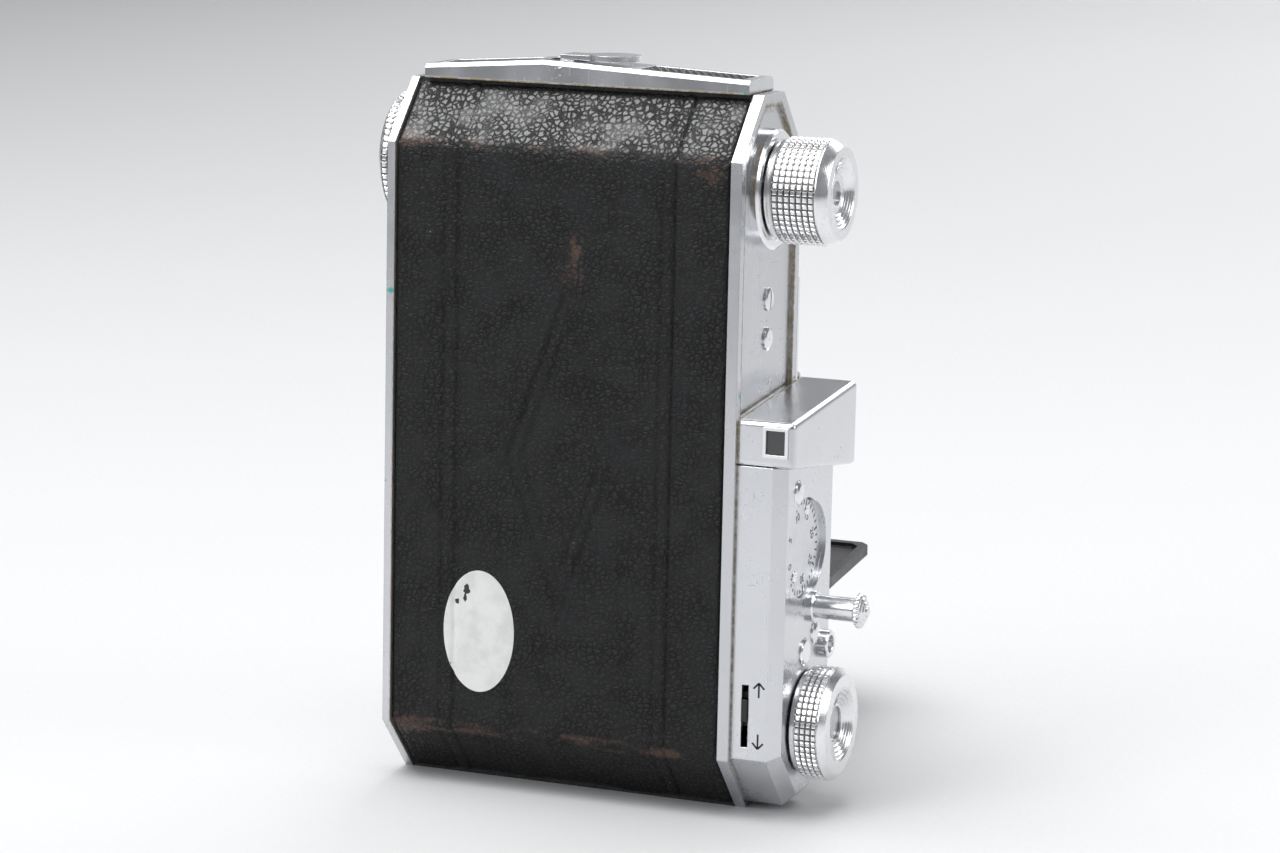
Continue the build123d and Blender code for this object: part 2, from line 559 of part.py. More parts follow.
def back_leather():
    low, high = SPAN_LOW + 0.35, SPAN_HIGH - 0.35
    skin = prism_x(octagon(0.05), low, high) - prism_x(octagon(LEATHER - 0.01), low - 1, high + 1)
    return skin & door_side(PLAY)


def pressure_plate():
    z_half = GATE_Z / 2 + 6
    return block((-15, 15), (FILM_Y - 1.25, FILM_Y - 0.25), (LENS_Z - z_half, LENS_Z + z_half))


def pressure_spring():
    """A bowed leaf between the door and the plate."""
    door_face = -BODY_HALF_DEPTH + LEATHER + SHELL
    leaf = block((-3, 3), (door_face, door_face + 0.3), (LENS_Z - 14, LENS_Z + 14))
    for z in (-12, 12):
        leaf += block((-3, 3), (door_face + 0.2, FILM_Y - 1.95), (LENS_Z + z - 1, LENS_Z + z + 1))
    return leaf


# --- winding ------------------------------------------------------------------------------------
def knob(radius, base_x, top_x, recess_r, hole_r, z):
    """A turned knob: a base disc, a wide grip, a bevelled face and a stepped recess."""
    grip = base_x + 0.8
    profile = [(base_x, hole_r), (base_x, radius - 0.9), (grip, radius - 0.9), (grip, radius),
               (top_x - 1.4, radius), (top_x, radius - 1.1), (top_x, recess_r), (top_x - 0.9, recess_r - 0.1)]
    steps = 4
    for step in range(steps):
        r = recess_r - 0.1 - 0.55 * (step + 1)
        x = top_x - 0.9 - 0.08 * step
        profile += [(x + 0.25, r + 0.4), (x + 0.25, r + 0.15), (x, r)]
    profile += [(top_x - 1.2, 0), (top_x - 1.5, 0), (top_x - 1.5, hole_r)]
    return turned_x(profile, 0, z)


def wind_knob():
    return knob(WIND_R, HOUSING_TOP + 0.3, WIND_TOP, 6.3, 3.0, WIND_Z)


def wind_shaft():
    shaft = rod_x(3.0, SPAN_HIGH - 1.0, WIND_TOP - 1.5, 0, WIND_Z)
    shaft += rod_x(2.4, -27.5, SPAN_HIGH - 1.0, 0, WIND_Z)
    return shaft


def take_up_spool():
    spool = ring_x(SPOOL_R, 2.4, -25.0, 25.0, 0, WIND_Z)
    for x in (-26.5, 25.0):
        spool += ring_x(SPOOL_R + 2.4, 2.4, x, x + 1.5, 0, WIND_Z)
    return spool - block((-17.5, 17.5), (4.0, SPOOL_R + 1), (WIND_Z - 0.6, WIND_Z + 0.6))


def ratchet_wheel():
    """The toothed wheel under the wind knob that stops it turning back."""
    teeth = 18
    points = []
    for tooth in range(teeth):
        for turn, radius in ((0.0, 7.4), (0.85, 6.4)):
            angle = 2 * math.pi * (tooth + turn) / teeth
            points.append((radius * math.cos(angle), WIND_Z + radius * math.sin(angle)))
    return prism_x(points, TOP_FACE + 0.4, TOP_FACE + 1.9) - rod_x(3.0, 0, 60, 0, WIND_Z)


def film_sprocket():
    y = FILM_Y + SPROCKET_R
    half = SPROCKET_TRACK / 2
    drum = ring_x(4.7, 1.5, -half - 2, half + 2, y, SPROCKET_Z)
    for side in (-1, 1):
        low = side * half - 1.4
        drum += ring_x(SPROCKET_R, 1.5, low, low + 2.8, y, SPROCKET_Z)
        for tooth in range(SPROCKET_TEETH):
            pin = block((low + 0.4, low + 2.4), (-0.55, 0.55), (SPROCKET_R - 0.4, SPROCKET_R + 0.75))
            turned = pin.rotate(Axis.X, (tooth + 0.5) * 360 / SPROCKET_TEETH)
            drum += Pos(0, y, SPROCKET_Z) * turned
    return drum


def sprocket_shaft():
    """The sprocket's axle, with the counter's driving finger at its top."""
    y = FILM_Y + SPROCKET_R
    shaft = rod_x(1.5, -29.0, TOP_FACE + 3.6, y, SPROCKET_Z)
    disc_r = min(3.4, math.hypot(RELEASE_Y - y, RELEASE_Z - SPROCKET_Z) - 2.2)     # clear of the release spring
    disc = rod_x(disc_r, TOP_FACE + 2.0, TOP_FACE + 3.4, y, SPROCKET_Z)
    finger = block((TOP_FACE + 2.2, TOP_FACE + 3.2), (y - 0.4, y + 0.4), (SPROCKET_Z - 4.25, SPROCKET_Z))
    return shaft + disc + finger


def counter_dial():
    """The frame counter's disc, sunk in the housing's top."""
    face = HOUSING_TOP - DIAL_SINK
    disc = rod_x(DIAL_R, face - 0.7, face, DIAL_Y, DIAL_Z)
    for y, z in DIAL_SCREWS:
        disc -= rod_x(0.6, face - 1, face + 1, y, z)
    return disc + rod_x(1.2, PANEL_FACE + 1.0, face - 0.7, DIAL_Y, DIAL_Z)


def counter_dial_screws():
    face = HOUSING_TOP - DIAL_SINK
    heads = []
    for y, z in DIAL_SCREWS:
        head = turned_x([(face - 0.6, 0), (face - 0.6, 0.6), (face, 0.6), (face, 1.0), (face + 0.25, 0.9),
                         (face + 0.35, 0)], y, z)
        heads.append(head - slot_cut(face + 0.4, y, z, 3.0, 70, width=0.3, depth=0.2))
    return Compound(children=heads)


def counter_gear():
    """The star wheel that turns the dial one step for each frame."""
    teeth = 38
    reach = DIAL_Y - HOUSING_REAR - HOUSING_WALL - 1.3
    points = []
    for tooth in range(teeth):
        for turn, radius in ((0.0, reach), (0.5, reach - 1.0)):
            angle = 2 * math.pi * (tooth + turn) / teeth
            points.append((DIAL_Y + radius * math.cos(angle), DIAL_Z + radius * math.sin(angle)))
    low = PANEL_FACE + 1.6
    return prism_x(points, low, low + 1.2) - rod_x(1.2, 0, 60, DIAL_Y, DIAL_Z)


# --- rewinding ----------------------------------------------------------------------------------
def rewind_knob():
    return knob(REWIND_R, PANEL_FACE + 2.0, REWIND_TOP, 5.9, SHAFT_R, REWIND_Z)


def rewind_shaft():
    """The pull-up shaft with the fork that turns the cassette."""
    shaft = rod_x(SHAFT_R, 21.5, REWIND_TOP - 1.5, 0, REWIND_Z)
    for sign in (-1, 1):
        y = (0.9, 2.0) if sign > 0 else (-2.0, -0.9)
        shaft += block((17.5, 21.6), y, (REWIND_Z - 0.8, REWIND_Z + 0.8))
    return shaft - ring_x(SHAFT_R + 1, SHAFT_R - 0.4, 21.85, 22.75, 0, REWIND_Z)


def rewind_detent_ring():
    """The spring ring that grips the shaft and slides with it."""
    return ring_x(SHAFT_R + 0.9, SHAFT_R - 0.35, 21.9, 22.7, 0, REWIND_Z)


# --- buttons ------------------------------------------------------------------------------------
def release_button():
    y, z = RELEASE_Y, RELEASE_Z
    top = RELEASE_TOP
    cap = turned_x([(HOUSING_TOP - 4.4, 0), (HOUSING_TOP - 4.4, RELEASE_R), (top - 2.2, RELEASE_R),
                    (top - 2.0, 2.5), (top - 1.7, 2.95), (top - 1.1, 2.95), (top - 0.7, 2.3), (top - 0.35, 1.5),
                    (top - 0.3, 0.8), (top, 0.7), (top, 0)], y, z)
    return cap


def release_spring():
    """The coil under the release button, as the tube it fills."""
    return ring_x(1.9, 1.2, TOP_FACE + 0.1, HOUSING_TOP - 4.5, RELEASE_Y, RELEASE_Z)


def film_release_button():
    y, z = FILM_RELEASE_YZ
    face = HOUSING_TOP
    return turned_x([(face - 3.0, 0), (face - 3.0, FILM_RELEASE_R), (face + 0.2, FILM_RELEASE_R),
                     (face + 0.45, FILM_RELEASE_R - 0.4), (face + 0.5, 0)], y, z)


def selector_lever():
    """The small slide in the rear slot that chooses advance or rewind."""
    gap = 0.1
    z = (17.1, 20.9)
    knob_part = block((SLOT_X[0] + gap, SLOT_X[1] - gap), (HOUSING_REAR - 0.35, HOUSING_REAR + HOUSING_WALL + 0.2), z)
    plate = block((SLOT_X[0] - 0.8, SLOT_X[1] + 1.4),
                  (HOUSING_REAR + HOUSING_WALL + 0.1, HOUSING_REAR + HOUSING_WALL + 0.8), (z[0] - 1, z[1] + 1))
    return knob_part + plate


def bed_release_button():
    """The button in the bottom plate that frees the bed."""
    y, z = BED_BUTTON_Y, BED_BUTTON_Z
    face = BOTTOM_FACE
    return turned_x([(SPAN_LOW + 6.0, 0), (SPAN_LOW + 6.0, 1.2), (face - 0.6, 1.2), (face - 0.6, 2.0),
                     (face - 2.0, 2.0), (face - 2.4, 1.6), (face - 2.5, 0)], y, z)


# --- bed and lens -------------------------------------------------------------------------------
def bed_outline(inset):
    """The bed seen from above, tapering to a tip with cut corners, in (x, y) on a level bed."""
    root, tip = BED_HALF_ROOT - inset, BED_HALF_TIP - inset
    start, end = BED_HINGE_Y + 2.6 + inset, BED_HINGE_Y + BED_LENGTH - inset
    cut = 1.6
    return [(-root, start), (root, start), (tip, end - cut), (tip - cut, end), (-tip + cut, end), (-tip, end - cut)]


def bed_slab(inset, z_low, z_high):
    face = Face(Wire.make_polygon([Vector(x, y, z_low) for x, y in bed_outline(inset)], close=True))
    return extrude(face, amount=z_high - z_low, dir=(0, 0, 1))


def bed_door():
    """The front bed: a shallow tray with hinge lugs and brackets for the struts."""
    inner = BED_HINGE_Z - BED_FACE
    tray = bed_slab(0, inner - BED_THICK + 0.5, inner)
    tray -= bed_slab(1.5, inner - 0.8, inner + 1.0)
    for side in (-1, 1):
        x = sorted((side * LUG_X[0], side * LUG_X[1]))
        lug = rod_x(1.5, x[0], x[1], BED_HINGE_Y, BED_HINGE_Z)
        lug += block(x, (BED_HINGE_Y - 0.4, BED_HINGE_Y + 4.6), (inner - 1.9, inner - 0.4))
        lug += block(x, (BED_HINGE_Y - 0.4, BED_HINGE_Y + 1.2), (inner - 1.0, BED_HINGE_Z - 0.4))
        tray += lug - rod_x(PIN_R + RUN, x[0] - 1, x[1] + 1, BED_HINGE_Y, BED_HINGE_Z)
    pin_y, pin_z = BED_HINGE_Y + STRUT_ROOT, inner + STRUT_RISE
    bracket = block(BRACKET_X, (pin_y - 1.6, pin_y + 1.6), (inner - 0.9, pin_z + 1.4))
    bracket += rod_x(PIN_R, STRUT_X[0] - 0.1, BRACKET_X[0] + 0.1, pin_y, pin_z)
    return on_bed(tray + mirror_x(bracket))


def bed_door_leather():
    outer = BED_HINGE_Z - BED_FACE - BED_THICK
    return on_bed(bed_slab(0.9, outer, outer + 0.49))


def lens_standard():
    """The board that carries the shutter, with an ear on each side for the struts."""
    y = (BOARD_Y, BOARD_Y + BOARD_THICK)
    board = block((-BOARD_HALF_X, BOARD_HALF_X), y, (LENS_Z - BOARD_HALF_Z, LENS_Z + BOARD_HALF_Z))
    board -= rod_y(14.0, y[0] - 1, y[1] + 1, 0, LENS_Z)
    pivot_y, pivot_z = STRUT_PIVOT
    ear = block((BOARD_HALF_X - 0.5, EAR_X[1]), y, (pivot_z - 2.6, pivot_z + 2.6))
    ear += block(EAR_X, (y[0], pivot_y + 2.0), (pivot_z - 2.6, pivot_z + 2.6))
    ear += rod_x(0.9, EAR_X[1] - 0.1, STRUT_X[1] + 0.1, pivot_y, pivot_z)
    return board + mirror_x(ear)


def strut_shape(start, end, slot):
    """A flat strut between two (y, z) points, with a hole at the first and a slot at the second."""
    length = math.hypot(end[0] - start[0], end[1] - start[1])
    tilt = math.degrees(math.atan2(end[1] - start[1], end[0] - start[0]))
    low, high = STRUT_X
    bar = block((low, high), (0, length), (-1.7, 1.7))
    bar += rod_x(1.7, low, high, 0, 0) + rod_x(2.2, low, high, length, 0)
    bar -= rod_x(0.9 + RUN, low - 1, high + 1, 0, 0)
    bar -= block((low - 1, high + 1), (length - slot, length + 1.1), (-1.1, 1.1))
    return Pos(0, start[0], start[1]) * bar.rotate(Axis.X, tilt)


def door_struts():
    tilt = math.radians(BED_REST_TILT)
    reach, rise = STRUT_ROOT, STRUT_RISE - BED_FACE
    root_y = BED_HINGE_Y + reach * math.cos(tilt) - rise * math.sin(tilt)
    root_z = BED_HINGE_Z + reach * math.sin(tilt) + rise * math.cos(tilt)
    strut = strut_shape(STRUT_PIVOT, (root_y, root_z), STRUT_SLOT + 1.2)
    return Compound(children=[strut, mirror(strut, about=Plane.YZ)])


def bellows():
    """The folded cone between the film gate and the board, as the tube it fills."""
    def cone(half_x, half_z, front_x, front_z, y_low, y_high):
        rear = Pos(0, y_low, LENS_Z) * Rot(-90, 0, 0) * Rectangle(2 * half_x, 2 * half_z)
        front = Pos(0, y_high, LENS_Z) * Rot(-90, 0, 0) * Rectangle(2 * front_x, 2 * front_z)
        return loft([rear, front])
    low, high = FILM_Y + 2.05, BOARD_Y - 0.05
    return cone(18.0, 19.2, 15.5, 16.5, low, high) - cone(14.0, 18.4, 13.0, 14.0, low - 0.01, high + 0.01)


def shutter_housing():
    y = BOARD_Y + BOARD_THICK
    shell = turned_y([(y, 15.0), (y, SHUTTER_R), (y + SHUTTER_DEPTH - 2.2, SHUTTER_R),
                      (y + SHUTTER_DEPTH - 0.8, SHUTTER_R - 1.2), (y + SHUTTER_DEPTH - 0.8, LENS_R + 4.6),
                      (y + SHUTTER_DEPTH - 2.0, LENS_R + 4.6), (y + SHUTTER_DEPTH - 2.0, LENS_R + 0.6),
                      (y + 3.0, LENS_R + 0.6), (y + 3.0, 15.0)], 0, LENS_Z)
    for low, high, sweep_from, sweep_to in SHUTTER_SLOTS:
        shell -= ring_sector(SHUTTER_R + 1, SHUTTER_R - 1.8, y + low, y + high, sweep_from, sweep_to)
    return shell


def ring_sector(outer, inner, y_low, y_high, sweep_from, sweep_to):
    """Part of a ring round the lens axis, between two angles measured from +X towards +Z."""
    middle = math.radians((sweep_from + sweep_to) / 2)
    spread = math.radians(sweep_to - sweep_from) / 2
    reach = outer + 3
    points = [(0, LENS_Z)]
    for step in range(5):
        angle = middle - spread + spread * step / 2
        points.append((reach * math.cos(angle), LENS_Z + reach * math.sin(angle)))
    return ring_y(outer, inner, y_low, y_high, 0, LENS_Z) & prism_y(points, y_low - 1, y_high + 1)


def shutter_lever(slot, angle, reach, half_width=1.1):
    """A lever that sticks out of one of the shutter's slots at the given angle."""
    low, high = SHUTTER_SLOTS[slot][:2]
    y = BOARD_Y + BOARD_THICK
    blade = block((SHUTTER_R - 1.6, SHUTTER_R + reach), (y + low + 0.25, y + high - 0.25), (-half_width, half_width))
    blade += block((SHUTTER_R + reach - 1.4, SHUTTER_R + reach), (y + low - 0.4, y + high + 0.4),
                   (-half_width, half_width))
    return Pos(0, 0, LENS_Z) * blade.rotate(Axis.Y, -angle)


def aperture_lever():
    return shutter_lever(0, 88, 1.6)


def cocking_lever():
    return shutter_lever(1, 145, 1.6)


def shutter_release_lever():
    return shutter_lever(2, 226, 1.6)


def shutter_speed_ring():
    y = BOARD_Y + BOARD_THICK + SHUTTER_DEPTH - 2.0
    return turned_y([(y + 0.02, LENS_R + 0.9), (y + 0.02, LENS_R + 4.4), (y + 1.3, LENS_R + 4.4), (y + 1.32, 20.6), (y + 2.6, 20.6),
                     (y + 3.0, 20.0), (y + 3.0, LENS_R + 0.9)], 0, LENS_Z)


def focus_ring():
    """The front cell's grip, with its inner barrel."""
    y = BOARD_Y + BOARD_THICK + SHUTTER_DEPTH
    return turned_y([(y - 1.9, LENS_R - 3.0), (y - 1.9, LENS_R + 0.5), (y + 1.6, LENS_R + 0.5), (y + 1.6, LENS_R + 1.4),
                     (y + 4.2, LENS_R + 1.4), (y + 4.8, LENS_R + 0.8), (LENS_FRONT - 0.6, LENS_R), (LENS_FRONT, LENS_R - 0.7),
                     (LENS_FRONT, LENS_R - 1.4), (LENS_FRONT - 3.4, LENS_R - 3.4), (LENS_FRONT - 3.4, LENS_R - 4.0),
                     (LENS_FRONT - 5.0, LENS_R - 4.0)], 0, LENS_Z)


def front_lens():
    """The front element, a shallow dome."""
    edge = LENS_FRONT - 3.4
    dome = Pos(0, edge - 8.6, LENS_Z) * Sphere(LENS_R)
    return (dome & rod_y(LENS_R - 4.05, edge - 1.4, edge + 6, 0, LENS_Z)) - rod_y(9, edge - 3, edge - 1.2, 0, LENS_Z)


def rear_lens():
    y = BOARD_Y + BOARD_THICK
    return turned_y([(y - 1.6, 0), (y - 1.2, 6.0), (y - 0.8, 11.0), (y + 0.6, 11.0), (y + 0.6, 0)], 0, LENS_Z)


def rear_lens_mount():
    y = BOARD_Y + BOARD_THICK
    return ring_y(13.9, 11.0, y - 1.9, y + 2.0, 0, LENS_Z)


NODES = [
    winding_chamber, lens_frame, cassette_chamber, front_platform, platform_rim, body_leather, top_plate,
    bottom_plate, plate_screws, top_housing, finder_housing, eyepiece_frame, eyepiece_lens, finder_front_lens,
    rewind_collar, housing_screws, release_collar, cable_release_socket, tripod_socket, latch_strap,
    latch_inserts, latch_pin, bed_hinge_pins, back_hinge_pin, bellows, back_door, back_leather,
    pressure_spring, pressure_plate, wind_knob, wind_shaft, take_up_spool, ratchet_wheel, film_sprocket,
    sprocket_shaft, counter_dial, counter_dial_screws, counter_gear, rewind_detent_ring, rewind_knob,
    rewind_shaft, release_button, release_spring, film_release_button, selector_lever, bed_door,
    bed_door_leather, lens_standard, shutter_housing, rear_lens_mount, front_lens, rear_lens,
    shutter_speed_ring, focus_ring, aperture_lever, cocking_lever, shutter_release_lever, door_struts,
    latch_lever, bed_release_button,
]

os.makedirs("parts", exist_ok=True)
for make in NODES:
    export_step(make(), f"parts/{make.__name__}.step")
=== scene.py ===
import math

import bpy
import numpy as np
from mathutils import Matrix, Vector


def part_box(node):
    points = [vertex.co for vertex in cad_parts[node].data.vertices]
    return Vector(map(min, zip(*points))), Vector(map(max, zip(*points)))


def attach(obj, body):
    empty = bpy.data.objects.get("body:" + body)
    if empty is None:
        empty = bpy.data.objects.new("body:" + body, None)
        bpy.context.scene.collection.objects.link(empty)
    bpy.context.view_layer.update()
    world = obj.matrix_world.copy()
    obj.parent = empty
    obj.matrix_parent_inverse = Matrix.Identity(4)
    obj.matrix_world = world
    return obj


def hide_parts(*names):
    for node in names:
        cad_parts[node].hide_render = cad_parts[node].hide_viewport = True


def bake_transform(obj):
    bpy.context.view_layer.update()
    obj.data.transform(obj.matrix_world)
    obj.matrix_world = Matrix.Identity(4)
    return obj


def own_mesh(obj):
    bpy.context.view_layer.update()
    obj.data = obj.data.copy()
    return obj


bl_info = {
    "name": "Folding Bellows Camera",
    "version": (1, 0, 0),
    "blender": (4, 5, 0),
    "location": "3D View > Sidebar > Folding Camera",
    "description": "Builds the coverings, knurls, marks and finishes of a folding 35 mm camera",
    "category": "Object",
}

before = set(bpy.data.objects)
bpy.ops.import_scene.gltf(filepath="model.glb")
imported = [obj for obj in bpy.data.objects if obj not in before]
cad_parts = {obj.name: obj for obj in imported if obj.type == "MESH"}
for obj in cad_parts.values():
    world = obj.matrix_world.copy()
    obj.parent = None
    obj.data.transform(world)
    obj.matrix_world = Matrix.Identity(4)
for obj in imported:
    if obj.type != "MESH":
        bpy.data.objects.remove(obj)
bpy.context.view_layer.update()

# Lengths inside the shapes are millimetres; add_piece turns them into metres.
MM = 0.001
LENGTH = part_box("top_plate")[1].z / MM
HALF_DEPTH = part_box("top_plate")[1].y / MM
CORNER_Y = 9.5
CORNER_Z = 10.2
END_HALF = HALF_DEPTH - CORNER_Y
LEATHER_X = (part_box("back_leather")[0].x / MM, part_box("back_leather")[1].x / MM)
LENS_Z = (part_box("shutter_housing")[0].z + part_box("shutter_housing")[1].z) / 2 / MM
HOUSING_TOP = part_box("top_housing")[1].x / MM
HOUSING_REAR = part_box("top_housing")[0].y / MM
# knurled grips: the radius, then where the knurls start and end along x
WIND_GRIP = (9.55, 41.8, 45.5)
REWIND_GRIP = (8.85, 35.0, 42.3)
TRIPOD_GRIP = (11.2, -34.15, -31.95)
# the viewer's camera, in metres, with its turn about z and its lens in millimetres
CAMERA_PLACE = (0.2499, -0.5994, 0.1760)
CAMERA_AIM = (0.0075, 0.00485, 0.0616)
CAMERA_TURN = 21.86
CAMERA_ROLL = 0.0209
CAMERA_LENS = 109.2


def node_centre(node):
    """The middle of a CAD node's box, in millimetres."""
    low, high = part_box(node)
    return (low + high) / 2 / MM


def metres(values):
    return [v * MM for v in values]


def darker(colour, share):
    """A colour darkened by a share of each of its three parts."""
    return [v * share for v in colour[:3]] + [1]


# --- sizes and colours --------------------------------------------------------------------------
class CameraSizes(bpy.types.PropertyGroup):
    wind_teeth: bpy.props.IntProperty(name="Wind knob teeth", description="Knurls round the wind knob",
                                      default=54, min=20, max=120)
    rewind_teeth: bpy.props.IntProperty(name="Rewind knob teeth", description="Knurls round the rewind knob",
                                        default=50, min=20, max=120)
    tripod_teeth: bpy.props.IntProperty(name="Tripod disc teeth",
                                        description="Knurls round the tripod socket",
                                        default=62, min=20, max=120)
    knurl_depth: bpy.props.FloatProperty(name="Knurl depth", description="Depth of the knurling's grooves",
                                         default=0.00042, min=0.0, max=0.001, unit="LENGTH")
    rib_height: bpy.props.FloatProperty(name="Rib height",
                                        description="Height of the leather's pressed ribs",
                                        default=0.00014, min=0.0, max=0.001, unit="LENGTH")
    pleats: bpy.props.IntProperty(name="Pleats", description="Folds along the bellows", default=13,
                                  min=4, max=30)
    pleat_depth: bpy.props.FloatProperty(name="Pleat depth", description="How far each fold stands out",
                                         default=0.0014, min=0.0, max=0.004, unit="LENGTH")
    grain_size: bpy.props.FloatProperty(name="Grain size", description="Size of one pebble of the leather",
                                        default=0.001, min=0.0003, max=0.003, unit="LENGTH")


def colour(name, text, value):
    return bpy.props.FloatVectorProperty(name=name, description=text, subtype="COLOR", size=4, min=0.0,
                                         max=1.0,
                                         default=(*value, 1.0))


class CameraColours(bpy.types.PropertyGroup):
    leather: colour("Leather", "The covering's black", (0.0065, 0.0068, 0.0073))
    scuff: colour("Scuff", "Brown hide where the covering is rubbed", (0.085, 0.048, 0.032))
    satin: colour("Satin chrome", "Plates and covers", (0.70, 0.71, 0.735))
    bright: colour("Bright chrome", "Knobs, frames and screws", (0.83, 0.835, 0.85))
    grime: colour("Grime", "Yellow-brown dirt in the seams", (0.30, 0.235, 0.125))
    enamel: colour("Enamel", "Black enamel of the bed and the body", (0.012, 0.012, 0.013))
    label: colour("Label", "The blank oval label", (0.74, 0.74, 0.725))
    floor: colour("Floor", "The pale floor", (0.515, 0.515, 0.52))


def sizes():
    return bpy.context.scene.folding_camera_sizes


def colours():
    return bpy.context.scene.folding_camera_colours


# --- meshes -------------------------------------------------------------------------------------
def grid_faces(rows, cols, wrap_rows=False, wrap_cols=False, start=0):
    """Quads over a rows by cols grid of points numbered row by row, closed round either way if asked."""
    r = np.arange(rows if wrap_rows else rows - 1)
    c = np.arange(cols if wrap_cols else cols - 1)
    r, c = np.meshgrid(r, c, indexing="ij")
    r2, c2 = (r + 1) % rows, (c + 1) % cols
    quads = np.stack([r * cols + c, r * cols + c2, r2 * cols + c2, r2 * cols + c], -1)
    return quads.reshape(-1, 4) + start


def outward(points, faces):
    """Turns every face over if the shell's signed volume is below zero."""
    total = 0.0
    for block in faces:
        a = points[block[:, 0]]
        for k in range(1, block.shape[1] - 1):
            total += np.einsum("ij,ij->i", a, np.cross(points[block[:, k]], points[block[:, k + 1]])).sum()
    return [block[:, ::-1] for block in faces] if total < 0 else faces


def merged(shells):
    """Several (points, face blocks) shells as one."""
    points, faces, start = [], [], 0
    for p, blocks in shells:
        points.append(p)
        faces += [b + start for b in blocks]
        start += len(p)
    return np.vstack(points), faces


def add_piece(name, shell, material, body, replaces=(), sharp=40.0):
    """Puts a shell of millimetre points into a mesh object and hands it to a CAD body."""
    points, faces = shell
    mesh = bpy.data.meshes.new(name)
    mesh.from_pydata((np.asarray(points) * MM).tolist(), [], [f for b in faces for f in b.tolist()])
    mesh.polygons.foreach_set("use_smooth", np.ones(len(mesh.polygons), bool))
    mesh.set_sharp_from_angle(angle=math.radians(sharp))
    mesh.materials.append(material)
    mesh.update()
    piece = bpy.data.objects.new(name, mesh)
    bpy.context.scene.collection.objects.link(piece)
    if body:
        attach(piece, body)
    if replaces:
        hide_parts(*replaces)
    return piece


def slab_shell(top, bottom):
    """A closed slab from two grids of points of the same shape, joined all round their borders."""
    rows, cols = top.shape[:2]
    count = rows * cols
    points = np.vstack([top.reshape(-1, 3), bottom.reshape(-1, 3)])
    upper = grid_faces(rows, cols)
    lower = grid_faces(rows, cols, start=count)[:, ::-1]
    index = np.arange(count).reshape(rows, cols)
    loop = np.concatenate([index[0, :], index[1:, -1], index[-1, -2::-1], index[-2:0:-1, 0]])
    after = np.roll(loop, -1)
    rim = np.stack([after, loop, loop + count, after + count], -1)
    return points, outward(points, [upper, lower, rim])


def turned_shell(profile, centre, axis, segments=160, relief=None):
    """Turns (along, radius) points about an axis through the centre: a point at angle t stands at
    radius + relief(along, radius, t) from it. A profile that starts and ends on the axis gets a
    pole at each end, and any other is closed into a ring."""
    profile = np.asarray(profile, float)
    solid = profile[0, 1] == 0 and profile[-1, 1] == 0
    body = profile[1:-1] if solid else profile
    t = np.arange(segments) * 2 * np.pi / segments
    along, angle = np.meshgrid(body[:, 0], t, indexing="ij")
    radius = np.repeat(body[:, 1][:, None], segments, 1)
    if relief is not None:
        radius = radius + relief(along, radius, angle)
    u, v = radius * np.cos(angle), radius * np.sin(angle)
    if axis == "x":
        points = np.stack([along, centre[0] + u, centre[1] + v], -1).reshape(-1, 3)
        poles = [[profile[0, 0], *centre], [profile[-1, 0], *centre]]
    else:
        points = np.stack([centre[0] + u, along, centre[1] + v], -1).reshape(-1, 3)
        poles = [[centre[0], profile[0, 0], centre[1]], [centre[0], profile[-1, 0], centre[1]]]
    rows = len(body)
    faces = [grid_faces(rows, segments, wrap_rows=not solid, wrap_cols=True)]
    if solid:
        first, last = len(points), len(points) + 1
        points = np.vstack([points, poles])
        i = np.arange(segments)
        j = (i + 1) % segments
        faces.append(np.stack([np.full(segments, first), j, i], -1))
        base = (rows - 1) * segments
        faces.append(np.stack([np.full(segments, last), base + i, base + j], -1))
    return points, outward(points, faces)


def plateau(t, slope=0.22):
    """0 at the ends of each unit cell, rising over the slope to a flat 1."""
    t = np.mod(t, 1.0)
    return np.clip((0.5 - np.abs(t - 0.5)) / slope, 0, 1)


def ripple(x, z, scale, seed):
    """A slow unevenness: the sum of five sines that cross at odd angles, between -1 and 1."""
    rng = np.random.default_rng(seed)
    total = np.zeros_like(x)
    for k in range(5):
        a, p = rng.uniform(0, np.pi), rng.uniform(0, 2 * np.pi)
        total += np.sin((x * np.cos(a) + z * np.sin(a)) / scale * (1 + 0.45 * k) + p)
    return total / 5


# --- leather ------------------------------------------------------------------------------------
def covering_path(points, soften):
    """Points every half millimetre along a broken line, with its corners rounded by a running mean,
    and the outward normal at each."""
    step = 0.5
    points = np.asarray(points, float)
    legs = np.hypot(*np.diff(points, axis=0).T)
    reach = np.concatenate([[0], np.cumsum(legs)])
    s = np.linspace(0, reach[-1], int(reach[-1] / step) + 1)
    line = np.stack([np.interp(s, reach, points[:, 0]), np.interp(s, reach, points[:, 1])], -1)
    width = 2 * int(soften / step) + 1
    padded = np.pad(line, ((width // 2, width // 2), (0, 0)), mode="reflect", reflect_type="odd")
    kernel = np.ones(width) / width
    line = np.stack([np.convolve(padded[:, k], kernel, mode="valid") for k in (0, 1)], -1)
    along = np.gradient(line, axis=0)
    along /= np.hypot(*along.T)[:, None]
    return s, line, np.stack([along[:, 1], -along[:, 0]], -1)


def rib_relief(x):
    """Two pressed bands along the length: a raised band with a fine groove on each side."""
    height = sizes().rib_height / MM
    total = np.zeros_like(x)
    for left, right in ((-20.8, -18.3), (18.2, 20.4)):
        band = np.clip((x - left) / 0.5, 0, 1) * np.clip((right - x) / 0.5, 0, 1)
        groove = np.exp(-((x - left) / 0.32) ** 2) + np.exp(-((x - right) / 0.32) ** 2)
        total += height * (0.75 * band - 1.9 * groove)
    return total


